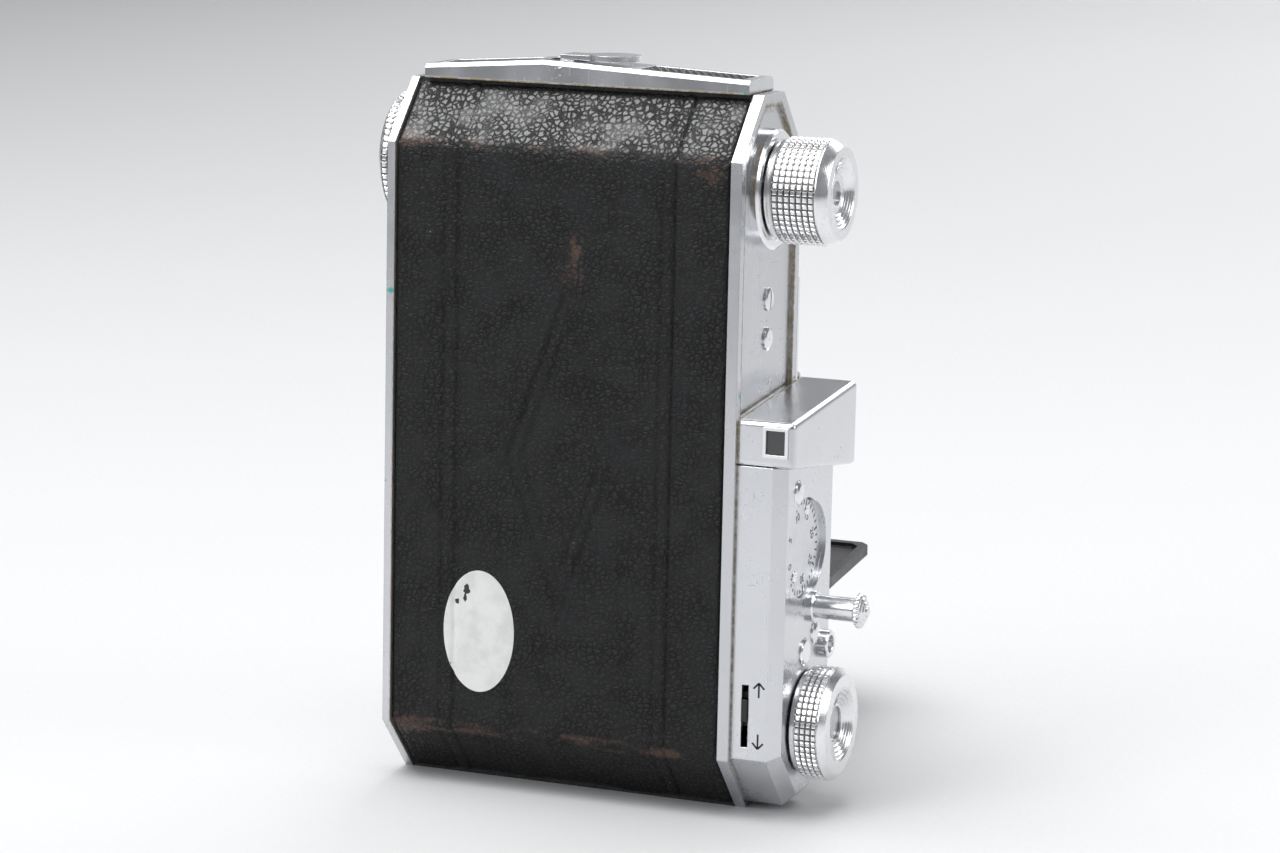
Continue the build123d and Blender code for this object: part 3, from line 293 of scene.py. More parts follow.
def ornament_relief(x, z):
    """A blind-pressed ornament: two lozenge outlines, one inside the other, with a small solid
    lozenge at the middle. Each line is a narrow groove with a low lip beside it."""
    u, v = np.abs(x - 0.8) / 9.5, np.abs(z - 58.0) / 27.0
    ring = u + v
    total = np.zeros_like(x)
    for place, depth in ((1.0, 0.27), (0.74, 0.2)):
        d = (ring - place) * 8.6
        total += -depth * np.exp(-(d / 0.5) ** 2) + 0.45 * depth * np.exp(-((d - 0.8) / 0.4) ** 2)
    return total - 0.12 * np.clip((0.2 - ring) / 0.05, 0, 1)


def covering_relief(x, z, low_x, high_x):
    """Height of the covering over its resting level: ribs, slow unevenness and turned-down sides."""
    side = np.minimum(x - low_x, high_x - x)
    turn = -0.32 * np.clip(1 - side / 0.6, 0, 1) ** 2
    return rib_relief(x) + 0.045 * ripple(x, z, 9.0, 4) + 0.03 * ripple(x, z, 3.1, 9) + turn


def back_covering_shell():
    """The covering of the back: the body's octagon from the rewind end round to the hinge and on to
    the winding end, swept across the width, with a wavy lower edge."""
    inset = 0.24
    slope = math.hypot(CORNER_Y, CORNER_Z)
    end = END_HALF - inset * (slope - CORNER_Y) / CORNER_Z
    low = CORNER_Z + inset * (slope - CORNER_Z) / CORNER_Y
    side = HALF_DEPTH - inset
    start = (-end - 0.25, LENGTH - inset - 0.27)
    s, line, normal = covering_path([start, (-side, LENGTH - low), (-side, low), (-end - 0.3, 0.55)], 1.6)
    x = np.linspace(*LEATHER_X, 180)
    rows = len(s)
    xs = np.repeat(x[None, :], rows, 0)
    ys, zs = np.repeat(line[:, :1], len(x), 1), np.repeat(line[:, 1:], len(x), 1)
    wave = 0.55 + 0.45 * np.sin(x / 3.1 + 0.8) + 0.35 * np.sin(x / 7.3 + 2.0)
    pull = np.clip((s[:, None] - (s[-1] - 5.0)) / 5.0, 0, 1) * np.clip(wave, 0, 1.3)[None, :]
    away = np.array([-CORNER_Y, CORNER_Z]) / slope
    ys, zs = ys + away[0] * pull, zs + away[1] * pull
    height = covering_relief(xs, zs, *LEATHER_X) + ornament_relief(xs, zs) * (ys < -side + 0.4)
    top_end = np.clip((s[:, None] - 0.0) / 0.8, 0, 1)
    height = np.minimum(height, 0.2) - 0.25 * (1 - top_end) ** 2
    ny, nz = normal[:, :1], normal[:, 1:]
    top = np.stack([xs, ys + ny * height, zs + nz * height], -1)
    bottom = np.stack([xs, ys - ny * 0.32, zs - nz * 0.32], -1)
    return slab_shell(top, bottom)


def front_covering_shells():
    """The covering of the front, either side of the lens platform, each bent round its end bevel."""
    inset = 0.24
    slope = math.hypot(CORNER_Y, CORNER_Z)
    end = END_HALF - inset * (slope - CORNER_Y) / CORNER_Z
    low = CORNER_Z + inset * (slope - CORNER_Z) / CORNER_Y
    side = HALF_DEPTH - inset
    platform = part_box("front_platform")
    shells = []
    for path in ([(side, platform[0].z / MM - 0.25), (side, low), (end + 0.35, inset + 0.35)],
                 [(end + 0.35, LENGTH - inset - 0.35), (side, LENGTH - low),
                  (side, platform[1].z / MM + 0.25)]):
        s, line, normal = covering_path(path[::-1], 1.6)
        x = np.linspace(*LEATHER_X, 160)
        xs = np.repeat(x[None, :], len(s), 0)
        ys, zs = np.repeat(line[:, :1], len(x), 1), np.repeat(line[:, 1:], len(x), 1)
        height = np.minimum(covering_relief(xs, zs, *LEATHER_X), 0.2)
        ny, nz = normal[:, :1], normal[:, 1:]
        sign = np.sign(ny[len(s) // 2, 0])
        top = np.stack([xs, ys + sign * ny * height, zs + sign * nz * height], -1)
        bottom = np.stack([xs, ys - sign * ny * 0.32, zs - sign * nz * 0.32], -1)
        shells.append(slab_shell(top, bottom))
    return shells


def bed_covering_shell():
    """The covering under the bed: its tapered outline as a grid, with turned-down sides."""
    low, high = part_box("bed_door_leather")
    low, high = np.array(low) / MM, np.array(high) / MM
    v = np.linspace(0, 1, 120)[:, None]
    u = np.linspace(-1, 1, 110)[None, :]
    root, tip = 27.3, 24.0
    half = (root + (tip - root) * v) - 1.5 * np.clip((v - 0.974) / 0.026, 0, 1)
    tilt = math.radians(3.0)
    level = 28.1 - 1.6 - 2.4
    along = 3.55 + v * (57.55 - 3.55)
    xs = u * half + 0 * v
    reach = along + 0 * u
    side = np.minimum(half - np.abs(xs), np.minimum(reach - 3.55, 57.55 - reach))
    turn = 0.22 * np.clip(1 - side / 0.8, 0, 1) ** 2
    down = level - 28.1 + 0.03 + turn + 0.02 * (1 + ripple(xs, reach, 4.0, 2))
    up = level - 28.1 + 0.47 + 0 * xs

    def place(rise):
        y = 19.8 + reach * math.cos(tilt) - rise * math.sin(tilt)
        z = 28.1 + reach * math.sin(tilt) + rise * math.cos(tilt)
        return np.stack([xs, y, z], -1)
    return slab_shell(place(down), place(up))


def label_shell():
    """The blank oval label: rings of an ellipse laid over the covering, 0.05 mm thick."""
    centre, half = (-13.6, 27.5), (6.5, 10.5)
    r = np.linspace(0.02, 1, 22)[:, None]
    t = np.linspace(0, 2 * np.pi, 97)[:-1][None, :]
    x, z = centre[0] + half[0] * r * np.cos(t), centre[1] + half[1] * r * np.sin(t)
    lift = covering_relief(x, z, *LEATHER_X) * 0.8 + 0.05 - 0.03 * np.clip((r - 0.97) / 0.03, 0, 1)
    y = -(HALF_DEPTH - 0.24) - lift
    top = np.stack([x, y, z], -1)
    under = np.stack([x, y + 0.05, z], -1)
    rows, cols = x.shape
    points = np.vstack([top.reshape(-1, 3), under.reshape(-1, 3)])
    count = rows * cols
    i = np.arange(cols)
    j = (i + 1) % cols
    last = (rows - 1) * cols
    rim = np.stack([last + i, last + j, last + j + count, last + i + count], -1)
    middle = [top[0].mean(0), under[0].mean(0)]
    points = np.vstack([points, middle])
    caps = [np.stack([np.full(cols, 2 * count), j, i], -1),
            np.stack([np.full(cols, 2 * count + 1), i + count, j + count], -1)]
    faces = [grid_faces(rows, cols, wrap_cols=True),
             grid_faces(rows, cols, wrap_cols=True, start=count)[:, ::-1],
             rim, *caps]
    return points, outward(points, faces)


# --- bellows ------------------------------------------------------------------------------------
def bellows_shell():
    """A pleated square cone: at each place along it the outline is a rounded square, pushed in and
    out by a triangle wave with one period a fold. The inner wall repeats it a leather's thickness in."""
    low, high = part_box("bellows")
    y0, y1 = low.y / MM, high.y / MM
    folds = sizes().pleats
    depth = sizes().pleat_depth / MM
    v = np.linspace(0, 1, folds * 8 + 1)[:, None]
    t = (np.arange(128) * 2 * np.pi / 128)[None, :]
    wave = 1 - 2 * np.abs(np.mod(v * folds, 1.0) - 0.5)
    half_x = 17.6 + (15.1 - 17.6) * v - depth * (1 - wave)
    half_z = 18.8 + (16.1 - 18.8) * v - depth * (1 - wave)
    c, s = np.cos(t), np.sin(t)
    power = 9.0
    r = (np.abs(c) ** power + np.abs(s) ** power) ** (-1 / power)

    def wall(less):
        x = (half_x - less) * c * r
        z = LENS_Z + (half_z - less) * s * r
        y = y0 + (y1 - y0) * v + 0 * t
        return np.stack([x, y, z], -1)
    outer, inner = wall(0.0), wall(0.5)[::-1]
    loop = np.vstack([outer, inner])
    rows, cols = loop.shape[:2]
    points = loop.reshape(-1, 3)
    return points, outward(points, [grid_faces(rows, cols, wrap_rows=True, wrap_cols=True)])


# --- knobs --------------------------------------------------------------------------------------
def knurl_rows(low, high, radius, columns):
    """Profile points along a grip, eight to a column of knurls."""
    x = np.linspace(low, high, columns * 8 + 1)
    return [(a, radius) for a in x]


def knurl_relief(low, high, columns, teeth, depth):
    """Square cushions: each cell of the grip is flat on top and falls to a groove all round it."""
    def relief(along, radius, angle):
        inside = (along >= low - 1e-6) & (along <= high + 1e-6) & (radius > 7.0)
        cell = np.minimum(plateau((along - low) / (high - low) * columns),
                          plateau(angle / (2 * np.pi) * teeth))
        return np.where(inside, -depth * (1 - cell), 0.0)
    return relief


def knob_shell(node, radius, grip, columns, teeth, recess, bore):
    """A knob: smooth foot, knurled grip, smooth cone, flat lip and a dished recess whose wall
    falls in four rounded rings."""
    low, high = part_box(node)
    base, top = low.x / MM, high.x / MM
    centre = (0.0, (low.z + high.z) / 2 / MM)
    depth = sizes().knurl_depth / MM
    lip = radius - 1.15
    profile = [(base, bore), (base, radius - 0.95), (base + 0.1, radius - 0.85),
               (base + 0.75, radius - 0.85), (base + 0.8, radius - 0.5), (grip[0] - 0.25, radius - 0.25),
               (grip[0] - 0.05, radius - 0.2)]
    profile += knurl_rows(grip[0], grip[1], radius, columns)
    profile += [(grip[1] + 0.06, radius - 0.16), (grip[1] + 0.16, radius - 0.06),
                (grip[1] + 0.35, radius - 0.05), (top - 0.12, lip + 0.12), (top, lip - 0.05),
                (top, recess + 0.15), (top - 0.1, recess)]
    q = np.linspace(0, 1, 45)[1:]
    fall = recess - (recess - 3.3) * q
    fade = np.sin(np.pi * np.clip(q, 0, 1)) ** 0.3
    sink = top - 0.1 - 0.95 * q + 0.17 * np.sin(q * 2 * np.pi * 4.0) * fade
    profile += list(zip(sink, fall))
    profile += [(top - 1.05, 3.2), (top - 1.05, bore + 0.1), (top - 1.1, bore)]
    return turned_shell(profile, centre, "x", teeth * 8,
                        knurl_relief(grip[0], grip[1], columns, teeth, depth))


def tripod_shell():
    """The tripod disc: two rows of knurls on its rim, turned rings on its face, a threaded bore.
    The bore's wall is a triangle wave that climbs one pitch a turn."""
    low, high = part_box("tripod_socket")
    outer, inner = low.x / MM, high.x / MM
    centre = (0.0, (low.z + high.z) / 2 / MM)
    teeth = sizes().tripod_teeth
    depth = sizes().knurl_depth / MM
    rim = (outer + 0.65, outer + 2.85)
    pitch = 1.5875
    radius = TRIPOD_GRIP[0]
    profile = [(outer + 0.25, 3.97 + 0.45)]
    profile += [(outer, r) for r in (4.8, 6.0, 6.1)]
    profile += [(outer + 0.12, 6.2), (outer + 0.12, 6.5), (outer, 6.6), (outer, 8.6), (outer + 0.12, 8.7),
                (outer + 0.12, 9.0), (outer, 9.1), (outer, radius - 0.75), (outer + 0.55, radius - 0.12)]
    profile += knurl_rows(rim[0], rim[1], radius, 2)
    profile += [(rim[1] + 0.1, radius - 0.2), (-31.4, radius - 0.5), (-31.4, 5.15), (inner, 5.15),
                (inner, 4.6)]
    profile += [(a, 4.0) for a in np.linspace(inner, outer + 0.35, 40)]
    knurl = knurl_relief(rim[0], rim[1], 2, teeth, depth)

    def relief(along, r, angle):
        wave = np.abs(np.mod(along / pitch - angle / (2 * np.pi), 1.0) - 0.5) * 2
        return knurl(along, r, angle) + np.where(np.abs(r - 4.0) < 0.01, 0.55 * wave, 0.0)
    return turned_shell(profile, centre, "x", teeth * 8, relief)


def release_button_shell():
    """The release: a plain stem and a domed cap with a serrated edge and two turned rings."""
    low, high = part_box("release_button")
    foot, top = low.x / MM, high.x / MM
    centre = node_centre("release_button")
    profile = [(foot, 0), (foot, 1.9), (foot + 0.1, 2.0), (top - 2.35, 2.0), (top - 2.3, 1.8),
               (top - 2.15, 1.8), (top - 2.1, 2.45), (top - 1.95, 2.6), (top - 1.85, 2.92),
               (top - 1.6, 2.95), (top - 1.3, 2.95), (top - 1.1, 2.85), (top - 0.95, 2.45),
               (top - 0.95, 2.3), (top - 0.75, 2.2), (top - 0.62, 1.75), (top - 0.66, 1.6),
               (top - 0.45, 1.5), (top - 0.35, 1.1), (top - 0.4, 0.95), (top - 0.12, 0.85), (top, 0.5),
               (top, 0)]

    def relief(along, r, angle):
        edge = (r > 2.3) & (along > top - 2.2)
        return np.where(edge, -0.24 * (1 - plateau(angle / (2 * np.pi) * 22, 0.3)), 0.0)
    return turned_shell(profile, (centre.y, centre.z), "x", 176, relief)


def release_spring_shell():
    """A coil of round wire between the plate and the button: a circle carried along a helix whose
    ends close up flat."""
    low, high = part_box("release_spring")
    centre = node_centre("release_spring")
    turns, wire, radius = 5, 0.17, 1.37
    s = np.linspace(0, 1, 260)[:, None]
    t = (np.arange(10) * 2 * np.pi / 10)[None, :]
    x0, x1 = low.x / MM + wire, high.x / MM - wire
    climb = np.clip((s - 0.1) / 0.8, 0, 1)
    a = s * turns * 2 * np.pi
    r = radius + wire * np.cos(t)
    x = x0 + (x1 - x0) * climb + wire * np.sin(t)
    points = np.stack([x, centre.y + r * np.cos(a), centre.z + r * np.sin(a)], -1)
    rows, cols = points.shape[:2]
    flat = points.reshape(-1, 3)
    ends = np.vstack([points[0].mean(0), points[-1].mean(0)])
    i = np.arange(cols)
    j = (i + 1) % cols
    first, last, base = len(flat), len(flat) + 1, (rows - 1) * cols
    flat = np.vstack([flat, ends])
    faces = [grid_faces(rows, cols, wrap_cols=True), np.stack([np.full(cols, first), j, i], -1),
             np.stack([np.full(cols, last), base + i, base + j], -1)]
    return flat, outward(flat, faces)


def latch_insert_shells():
    """The two black inserts in the strap: slanting ridges on a slab that follows the strap's crown."""
    low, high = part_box("latch_strap")
    left, right = low.x / MM, high.x / MM
    peak_x, peak, foot = -7.0, LENGTH + 3.9, LENGTH + 2.3
    shells = []
    for x0, x1, lean in ((-26.5, -10.5, -0.55), (9.5, 27.8, 0.55)):
        x = np.linspace(x0, x1, 190)[:, None]
        y = np.linspace(-3.9, 3.7, 28)[None, :]
        span = np.where(x < peak_x, left, right)
        crown = peak + (foot - peak) * (x - peak_x) / (span - peak_x)
        ridge = plateau((x + lean * y) / 1.35, 0.3)
        edge = np.clip(np.minimum(y + 3.9, 3.7 - y) / 0.35, 0, 1)
        edge = edge * np.clip(np.minimum(x - x0, x1 - x) / 0.4, 0, 1)
        xs, ys = x + 0 * y, y + 0 * x
        top = np.stack([xs, ys, crown - 0.5 + 0.42 * ridge * edge], -1)
        bottom = np.stack([xs, ys, crown - 0.84 + 0 * y], -1)
        shells.append(slab_shell(top, bottom))
    return shells


def slider_shell():
    """The selector's finger piece: a block whose outer face is six saw teeth."""
    low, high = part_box("selector_lever")
    z0, z1 = low.z / MM + 1.0, high.z / MM - 1.0
    z = np.linspace(z0, z1, 49)[:, None]
    x = np.array([[33.92, 34.05, 34.75, 34.88]])
    tooth = np.mod((z - z0) / (z1 - z0) * 6, 1.0)
    edge = np.array([[0.12, 0.0, 0.0, 0.12]])
    y = low.y / MM + 0.26 * tooth + edge
    top = np.stack([x + 0 * z, y + 0 * x, z + 0 * x], -1)
    back = np.stack([x + 0 * z, 0 * x + 0 * z + HOUSING_REAR + 0.9, z + 0 * x], -1)
    return slab_shell(top, back)


def focus_ring_shell():
    """The front cell: a finely ribbed grip, a sloping face and stepped rings down to the glass."""
    low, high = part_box("focus_ring")
    back, front = low.y / MM, high.y / MM
    grip = (38.7, 41.0)
    r = 12.0
    profile = [(back, r - 3.0), (back, r + 0.5), (38.6, r + 0.5), (38.6, r + 1.2)]
    profile += [(a, r + 1.4) for a in np.linspace(grip[0], grip[1], 9)]
    profile += [(41.3, r + 1.2), (41.7, r + 0.8), (front - 0.6, r), (front, r - 0.7), (front, r - 1.3),
                (front - 0.1, r - 1.45), (front - 0.7, r - 1.6), (front - 0.75, r - 1.9),
                (front - 1.4, r - 2.05),
                (front - 1.45, r - 2.35), (front - 2.1, r - 2.5), (front - 2.15, r - 2.8),
                (front - 2.8, r - 2.95),
                (front - 2.85, r - 3.25), (front - 3.4, r - 3.4), (front - 3.4, r - 4.0),
                (front - 5.0, r - 4.0)]

    def relief(along, radius, angle):
        inside = (along >= grip[0] - 1e-6) & (along <= grip[1] + 1e-6) & (radius > r + 1.3)
        return np.where(inside, -0.2 * (1 - plateau(angle / (2 * np.pi) * 96, 0.3)), 0.0)
    return turned_shell(profile, (0.0, LENS_Z), "y", 768, relief)


def shutter_blades_shell():
    """Five closed blades behind the front glass: a disc whose level steps up once in every fifth of
    a turn, with the steps swept back as they near the middle."""
    t = (np.arange(360) * 2 * np.pi / 360)[None, :]
    r = np.linspace(0.3, 10.6, 30)[:, None]
    step = np.mod(t / (2 * np.pi) * 5 + 0.55 * (1 - r / 10.6), 1.0)
    y = 28.9 + 0.22 * step
    x, z = r * np.cos(t), LENS_Z + r * np.sin(t)
    front = np.stack([x, y, z], -1)
    rows, cols = front.shape[:2]
    rear = np.stack([x, 28.5 + 0 * x, z], -1)
    loop = np.vstack([rear, front[::-1]])
    points = loop.reshape(-1, 3)
    return points, outward(points, [grid_faces(2 * rows, cols, wrap_rows=True, wrap_cols=True)])


# --- marks --------------------------------------------------------------------------------------
def figure_shells(text, origin, up, normal, height):
    """A number as a flat solid 0.02 mm thick, standing on its origin and facing along the normal."""
    curve = bpy.data.curves.new("figure", "FONT")
    curve.body = text
    curve.align_x, curve.align_y = "CENTER", "CENTER"
    curve.extrude = 0.01 / height
    curve.resolution_u = 3
    holder = bpy.data.objects.new("figure", curve)
    bpy.context.scene.collection.objects.link(holder)
    bpy.context.view_layer.update()
    mesh = bpy.data.meshes.new_from_object(holder)
    co = np.zeros(len(mesh.vertices) * 3)
    mesh.vertices.foreach_get("co", co)
    co = co.reshape(-1, 3) * height
    faces = [np.array([list(p.vertices)]) for p in mesh.polygons]
    bpy.data.objects.remove(holder)
    bpy.data.curves.remove(curve)
    bpy.data.meshes.remove(mesh)
    up, normal = np.array(up, float), np.array(normal, float)
    right = np.cross(up, normal)
    points = np.array(origin, float) + co[:, :1] * right + co[:, 1:2] * up + co[:, 2:] * normal
    return points, faces


def strip_shell(start, end, width, normal, thick=0.02):
    """A thin bar between two points, lying on a face with the given normal."""
    start, end, normal = np.array(start, float), np.array(end, float), np.array(normal, float)
    along = (end - start) / np.linalg.norm(end - start)
    side = np.cross(normal, along) * width / 2
    rise = normal * thick
    points = np.array([start - side, start + side, end + side, end - side])
    points = np.vstack([points, points + rise])
    faces = np.array([[0, 1, 2, 3], [7, 6, 5, 4], [0, 4, 5, 1], [1, 5, 6, 2], [2, 6, 7, 3], [3, 7, 4, 0]])
    return points, outward(points, [faces])


def ring_figures(words, radius, plane, height, first, step, axis):
    """Numbers spaced round a dial, with their heads outwards."""
    shells = []
    for index, word in enumerate(words):
        a = math.radians(first + step * index)
        if axis == "x":
            centre = node_centre("counter_dial")
            up = (0, math.cos(a), math.sin(a))
            origin = (plane, centre.y + radius * up[1], centre.z + radius * up[2])
            normal = (1, 0, 0)
        else:
            up = (math.cos(a), 0, math.sin(a))
            origin = (radius * up[0], plane, LENS_Z + radius * up[2])
            normal = (0, 1, 0)
        shells.append(figure_shells(word, origin, up, normal, height))
    return shells


def dial_mark_shells():
    """The counter's numbers, every five frames, and a tick for each frame."""
    face = HOUSING_TOP - 0.75
    centre = node_centre("counter_dial")
    step = -360 / 38
    shells = ring_figures([str(n) for n in range(0, 40, 5)], 5.55, face + 0.01, 2.0, 205, step * 5, "x")
    for n in range(38):
        a = math.radians(205 + step * n)
        c, s = math.cos(a), math.sin(a)
        inner = 6.75 if n % 5 == 0 else 7.25
        ends = [(face + 0.01, centre.y + r * c, centre.z + r * s) for r in (inner, 8.05)]
        shells.append(strip_shell(ends[0], ends[1], 0.34 if n % 5 == 0 else 0.26, (1, 0, 0)))
    return shells


def arrow_shells(x, z, way):
    """A plain arrow that stands for a letter beside the selector's slot: a shaft and two barbs."""
    y = HOUSING_REAR
    normal = (0, -1, 0)
    tail, tip = z - way * 1.25, z + way * 1.25
    shells = [strip_shell((x, y, tail), (x, y, tip), 0.32, normal)]
    for side in (-1, 1):
        shells.append(strip_shell((x + side * 0.95, y, tip - way * 1.0), (x, y, tip), 0.32, normal))
    return shells


# --- shader groups ------------------------------------------------------------------------------
def new_group(name, inputs, outputs):
    """An empty shader group with named sockets: (name, kind, default) for each input."""
    group = bpy.data.node_groups.new(name, "ShaderNodeTree")
    for label, kind, default in inputs:
        socket = group.interface.new_socket(label, in_out="INPUT", socket_type=kind)
        socket.default_value = default
    for label, kind in outputs:
        group.interface.new_socket(label, in_out="OUTPUT", socket_type=kind)
    return group, group.nodes.new("NodeGroupInput"), group.nodes.new("NodeGroupOutput")


FLOAT, VECTOR = "NodeSocketFloat", "NodeSocketVector"


class Tree:
    """Short ways to add and link nodes in one node tree."""

    def __init__(self, tree):
        self.tree = tree

    def put(self, target, value):
        if hasattr(value, "is_output") or hasattr(value, "links"):
            self.tree.links.new(value, target)
        else:
            target.default_value = value

    def math(self, operation, *values, clamp=False):
        node = self.tree.nodes.new("ShaderNodeMath")
        node.operation = operation
        node.use_clamp = clamp
        for socket, value in zip(node.inputs, values):
            self.put(socket, value)
        return node.outputs[0]

    def times(self, a, b, clamp=False):
        return self.math("MULTIPLY", a, b, clamp=clamp)

    def plus(self, a, b):
        return self.math("ADD", a, b)

    def minus(self, a, b, clamp=False):
        return self.math("SUBTRACT", a, b, clamp=clamp)

    def most(self, a, b):
        return self.math("MAXIMUM", a, b)

    def least(self, a, b):
        return self.math("MINIMUM", a, b)

    def vector(self, operation, *values):
        node = self.tree.nodes.new("ShaderNodeVectorMath")
        node.operation = operation
        for socket, value in zip(node.inputs, values):
            self.put(socket, value)
        return node.outputs["Value" if operation == "LENGTH" else "Vector"]

    def parts(self, vector):
        node = self.tree.nodes.new("ShaderNodeSeparateXYZ")
        self.put(node.inputs[0], vector)
        return node.outputs

    def noise(self, vector, scale, detail=3.0, rough=0.5):
        node = self.tree.nodes.new("ShaderNodeTexNoise")
        self.put(node.inputs["Vector"], vector)
        self.put(node.inputs["Scale"], scale)
        node.inputs["Detail"].default_value = detail
        node.inputs["Roughness"].default_value = rough
        return node.outputs["Fac"]

    def cells(self, vector, scale, feature="DISTANCE_TO_EDGE"):
        node = self.tree.nodes.new("ShaderNodeTexVoronoi")
        node.feature = feature
        self.put(node.inputs["Vector"], vector)
        self.put(node.inputs["Scale"], scale)
        return node.outputs["Distance"]

    def between(self, value, low, high, to_low=0.0, to_high=1.0):
        node = self.tree.nodes.new("ShaderNodeMapRange")
        node.interpolation_type = "SMOOTHSTEP"
        for label, v in (("Value", value), ("From Min", low), ("From Max", high), ("To Min", to_low),
                         ("To Max", to_high)):
            self.put(node.inputs[label], v)
        return node.outputs[0]

    def mix(self, share, a, b):
        node = self.tree.nodes.new("ShaderNodeMix")
        node.data_type = "RGBA"
        self.put(node.inputs[0], share)
        self.put(node.inputs[6], a)
        self.put(node.inputs[7], b)
        return node.outputs[2]

    def stretch(self, vector, scale):
        node = self.tree.nodes.new("ShaderNodeMapping")
        self.put(node.inputs["Vector"], vector)
        node.inputs["Scale"].default_value = scale
        return node.outputs[0]

    def group(self, name, **values):
        node = self.tree.nodes.new("ShaderNodeGroup")
        node.node_tree = bpy.data.node_groups[name]
        for label, value in values.items():
            self.put(node.inputs[label.replace("_", " ")], value)
        return node.outputs


def make_leather_grain():
    """Pebbles with creases between them, over finer wrinkles: the distance to the edge of a warped
    cell pattern, lifted to a rounded step, with a slow noise that flattens some of the pebbles."""
    group, given, out = new_group("Leather grain",
                                  [("Vector", VECTOR, (0, 0, 0)), ("Cell Size", FLOAT, 0.00085),
                                   ("Worn", FLOAT, 0.0)],
                                  [("Height", FLOAT), ("Crease", FLOAT)])
    t = Tree(group)
    count = t.math("DIVIDE", 1.0, given.outputs["Cell Size"])
    noise = group.nodes.new("ShaderNodeTexNoise")
    t.put(noise.inputs["Vector"], given.outputs["Vector"])
    t.put(noise.inputs["Scale"], t.times(count, 0.9))
    warp = t.vector("SCALE", noise.outputs["Color"])
    warp.node.inputs["Scale"].default_value = 0.0009
    place = t.vector("ADD", given.outputs["Vector"], warp)
    edge = t.cells(place, count)
    pebble = t.between(edge, 0.0, 0.3)
    fine = t.between(t.cells(place, t.times(count, 2.3)), 0.0, 0.3)
    slow = t.noise(given.outputs["Vector"], 160.0)
    depth = t.between(slow, 0.3, 0.65, 0.45, 1.0)
    keep = t.times(depth, t.minus(1.0, given.outputs["Worn"]))
    coarse = t.times(pebble, keep)
    total = t.plus(coarse, t.times(fine, 0.33))
    total = t.plus(total, t.times(t.noise(given.outputs["Vector"], 9000.0), 0.12))
    t.put(out.inputs["Height"], total)
    t.put(out.inputs["Crease"], t.times(t.minus(1.0, pebble), keep))


def make_spot():
    """1 at a centre, falling to 0 at the radii given, with a ragged edge from noise."""
    group, given, out = new_group("Spot", [("Vector", VECTOR, (0, 0, 0)), ("Centre", VECTOR, (0, 0, 0)),
                                           ("Spread", VECTOR, (0.001, 0.001, 0.001)), ("Ragged", FLOAT, 0.5),
                                           ("Grain", FLOAT, 1500.0)], [("Mask", FLOAT)])
    t = Tree(group)
    off = t.vector("DIVIDE", t.vector("SUBTRACT", given.outputs["Vector"], given.outputs["Centre"]),
                   given.outputs["Spread"])
    reach = t.vector("LENGTH", off)
    noise = t.minus(t.noise(given.outputs["Vector"], given.outputs["Grain"]), 0.5)
    reach = t.plus(reach, t.times(noise, t.times(given.outputs["Ragged"], 2.0)))
    t.put(out.inputs["Mask"], t.between(reach, 0.35, 1.0, 1.0, 0.0))


def make_rim_distance():
    """Distance in from the body's octagon outline: the least of the distances to its sides, its ends
    and its bevels."""
    group, given, out = new_group("Rim distance", [("Vector", VECTOR, (0, 0, 0)), ("Inset", FLOAT, 0.0)],
                                  [("Distance", FLOAT)])
    t = Tree(group)
    xyz = t.parts(given.outputs["Vector"])
    across = t.math("ABSOLUTE", xyz[1])
    height = t.least(xyz[2], t.minus(LENGTH * MM, xyz[2]))
    slope = math.hypot(CORNER_Y, CORNER_Z)
    bevel = t.minus(t.times(height, CORNER_Y / slope),
                    t.times(t.minus(across, END_HALF * MM), CORNER_Z / slope))
    side = t.minus(HALF_DEPTH * MM, across)
    least = t.least(t.least(side, height), bevel)
    t.put(out.inputs["Distance"], t.minus(least, given.outputs["Inset"]))


def make_band():
    """1 where a value is within a width of a level, fading to 0 at twice that."""
    group, given, out = new_group("Band",
                                  [("Value", FLOAT, 0.0), ("Level", FLOAT, 0.0), ("Width", FLOAT, 0.0002)],
                                  [("Mask", FLOAT)])
    t = Tree(group)
    off = t.math("ABSOLUTE", t.minus(given.outputs["Value"], given.outputs["Level"]))
    ratio = t.math("DIVIDE", off, given.outputs["Width"])
    t.put(out.inputs["Mask"], t.between(ratio, 1.0, 2.0, 1.0, 0.0))


def make_satin_wear():
    """Handled satin plating: Tone is a slow cloudiness, Scratch fine lines in two directions, Pit
    scattered dull dots, and Height the plating's own grain."""
    group, given, out = new_group("Satin wear", [("Vector", VECTOR, (0, 0, 0)), ("Grain", FLOAT, 9000.0)],
                                  [("Tone", FLOAT), ("Scratch", FLOAT), ("Pit", FLOAT), ("Height", FLOAT)])
    t = Tree(group)
    v = given.outputs["Vector"]
    t.put(out.inputs["Tone"], t.noise(v, 70.0, 4.0, 0.6))
    long_lines = t.noise(t.stretch(v, (1.0, 1.0, 0.06)), 2600.0, 2.0)
    cross_lines = t.noise(t.stretch(v, (1.0, 0.05, 1.0)), 2100.0, 2.0)
    lines = t.most(t.between(long_lines, 0.63, 0.75), t.between(cross_lines, 0.66, 0.78))
    patch = t.between(t.noise(v, 130.0), 0.42, 0.62)
    t.put(out.inputs["Scratch"], t.times(lines, patch))
    dots = t.between(t.cells(v, 520.0, "F1"), 0.05, 0.13, 1.0, 0.0)
    chance = t.between(t.noise(v, 210.0), 0.56, 0.66)
    t.put(out.inputs["Pit"], t.times(dots, chance))
    t.put(out.inputs["Height"], t.noise(v, given.outputs["Grain"], 3.0, 0.6))


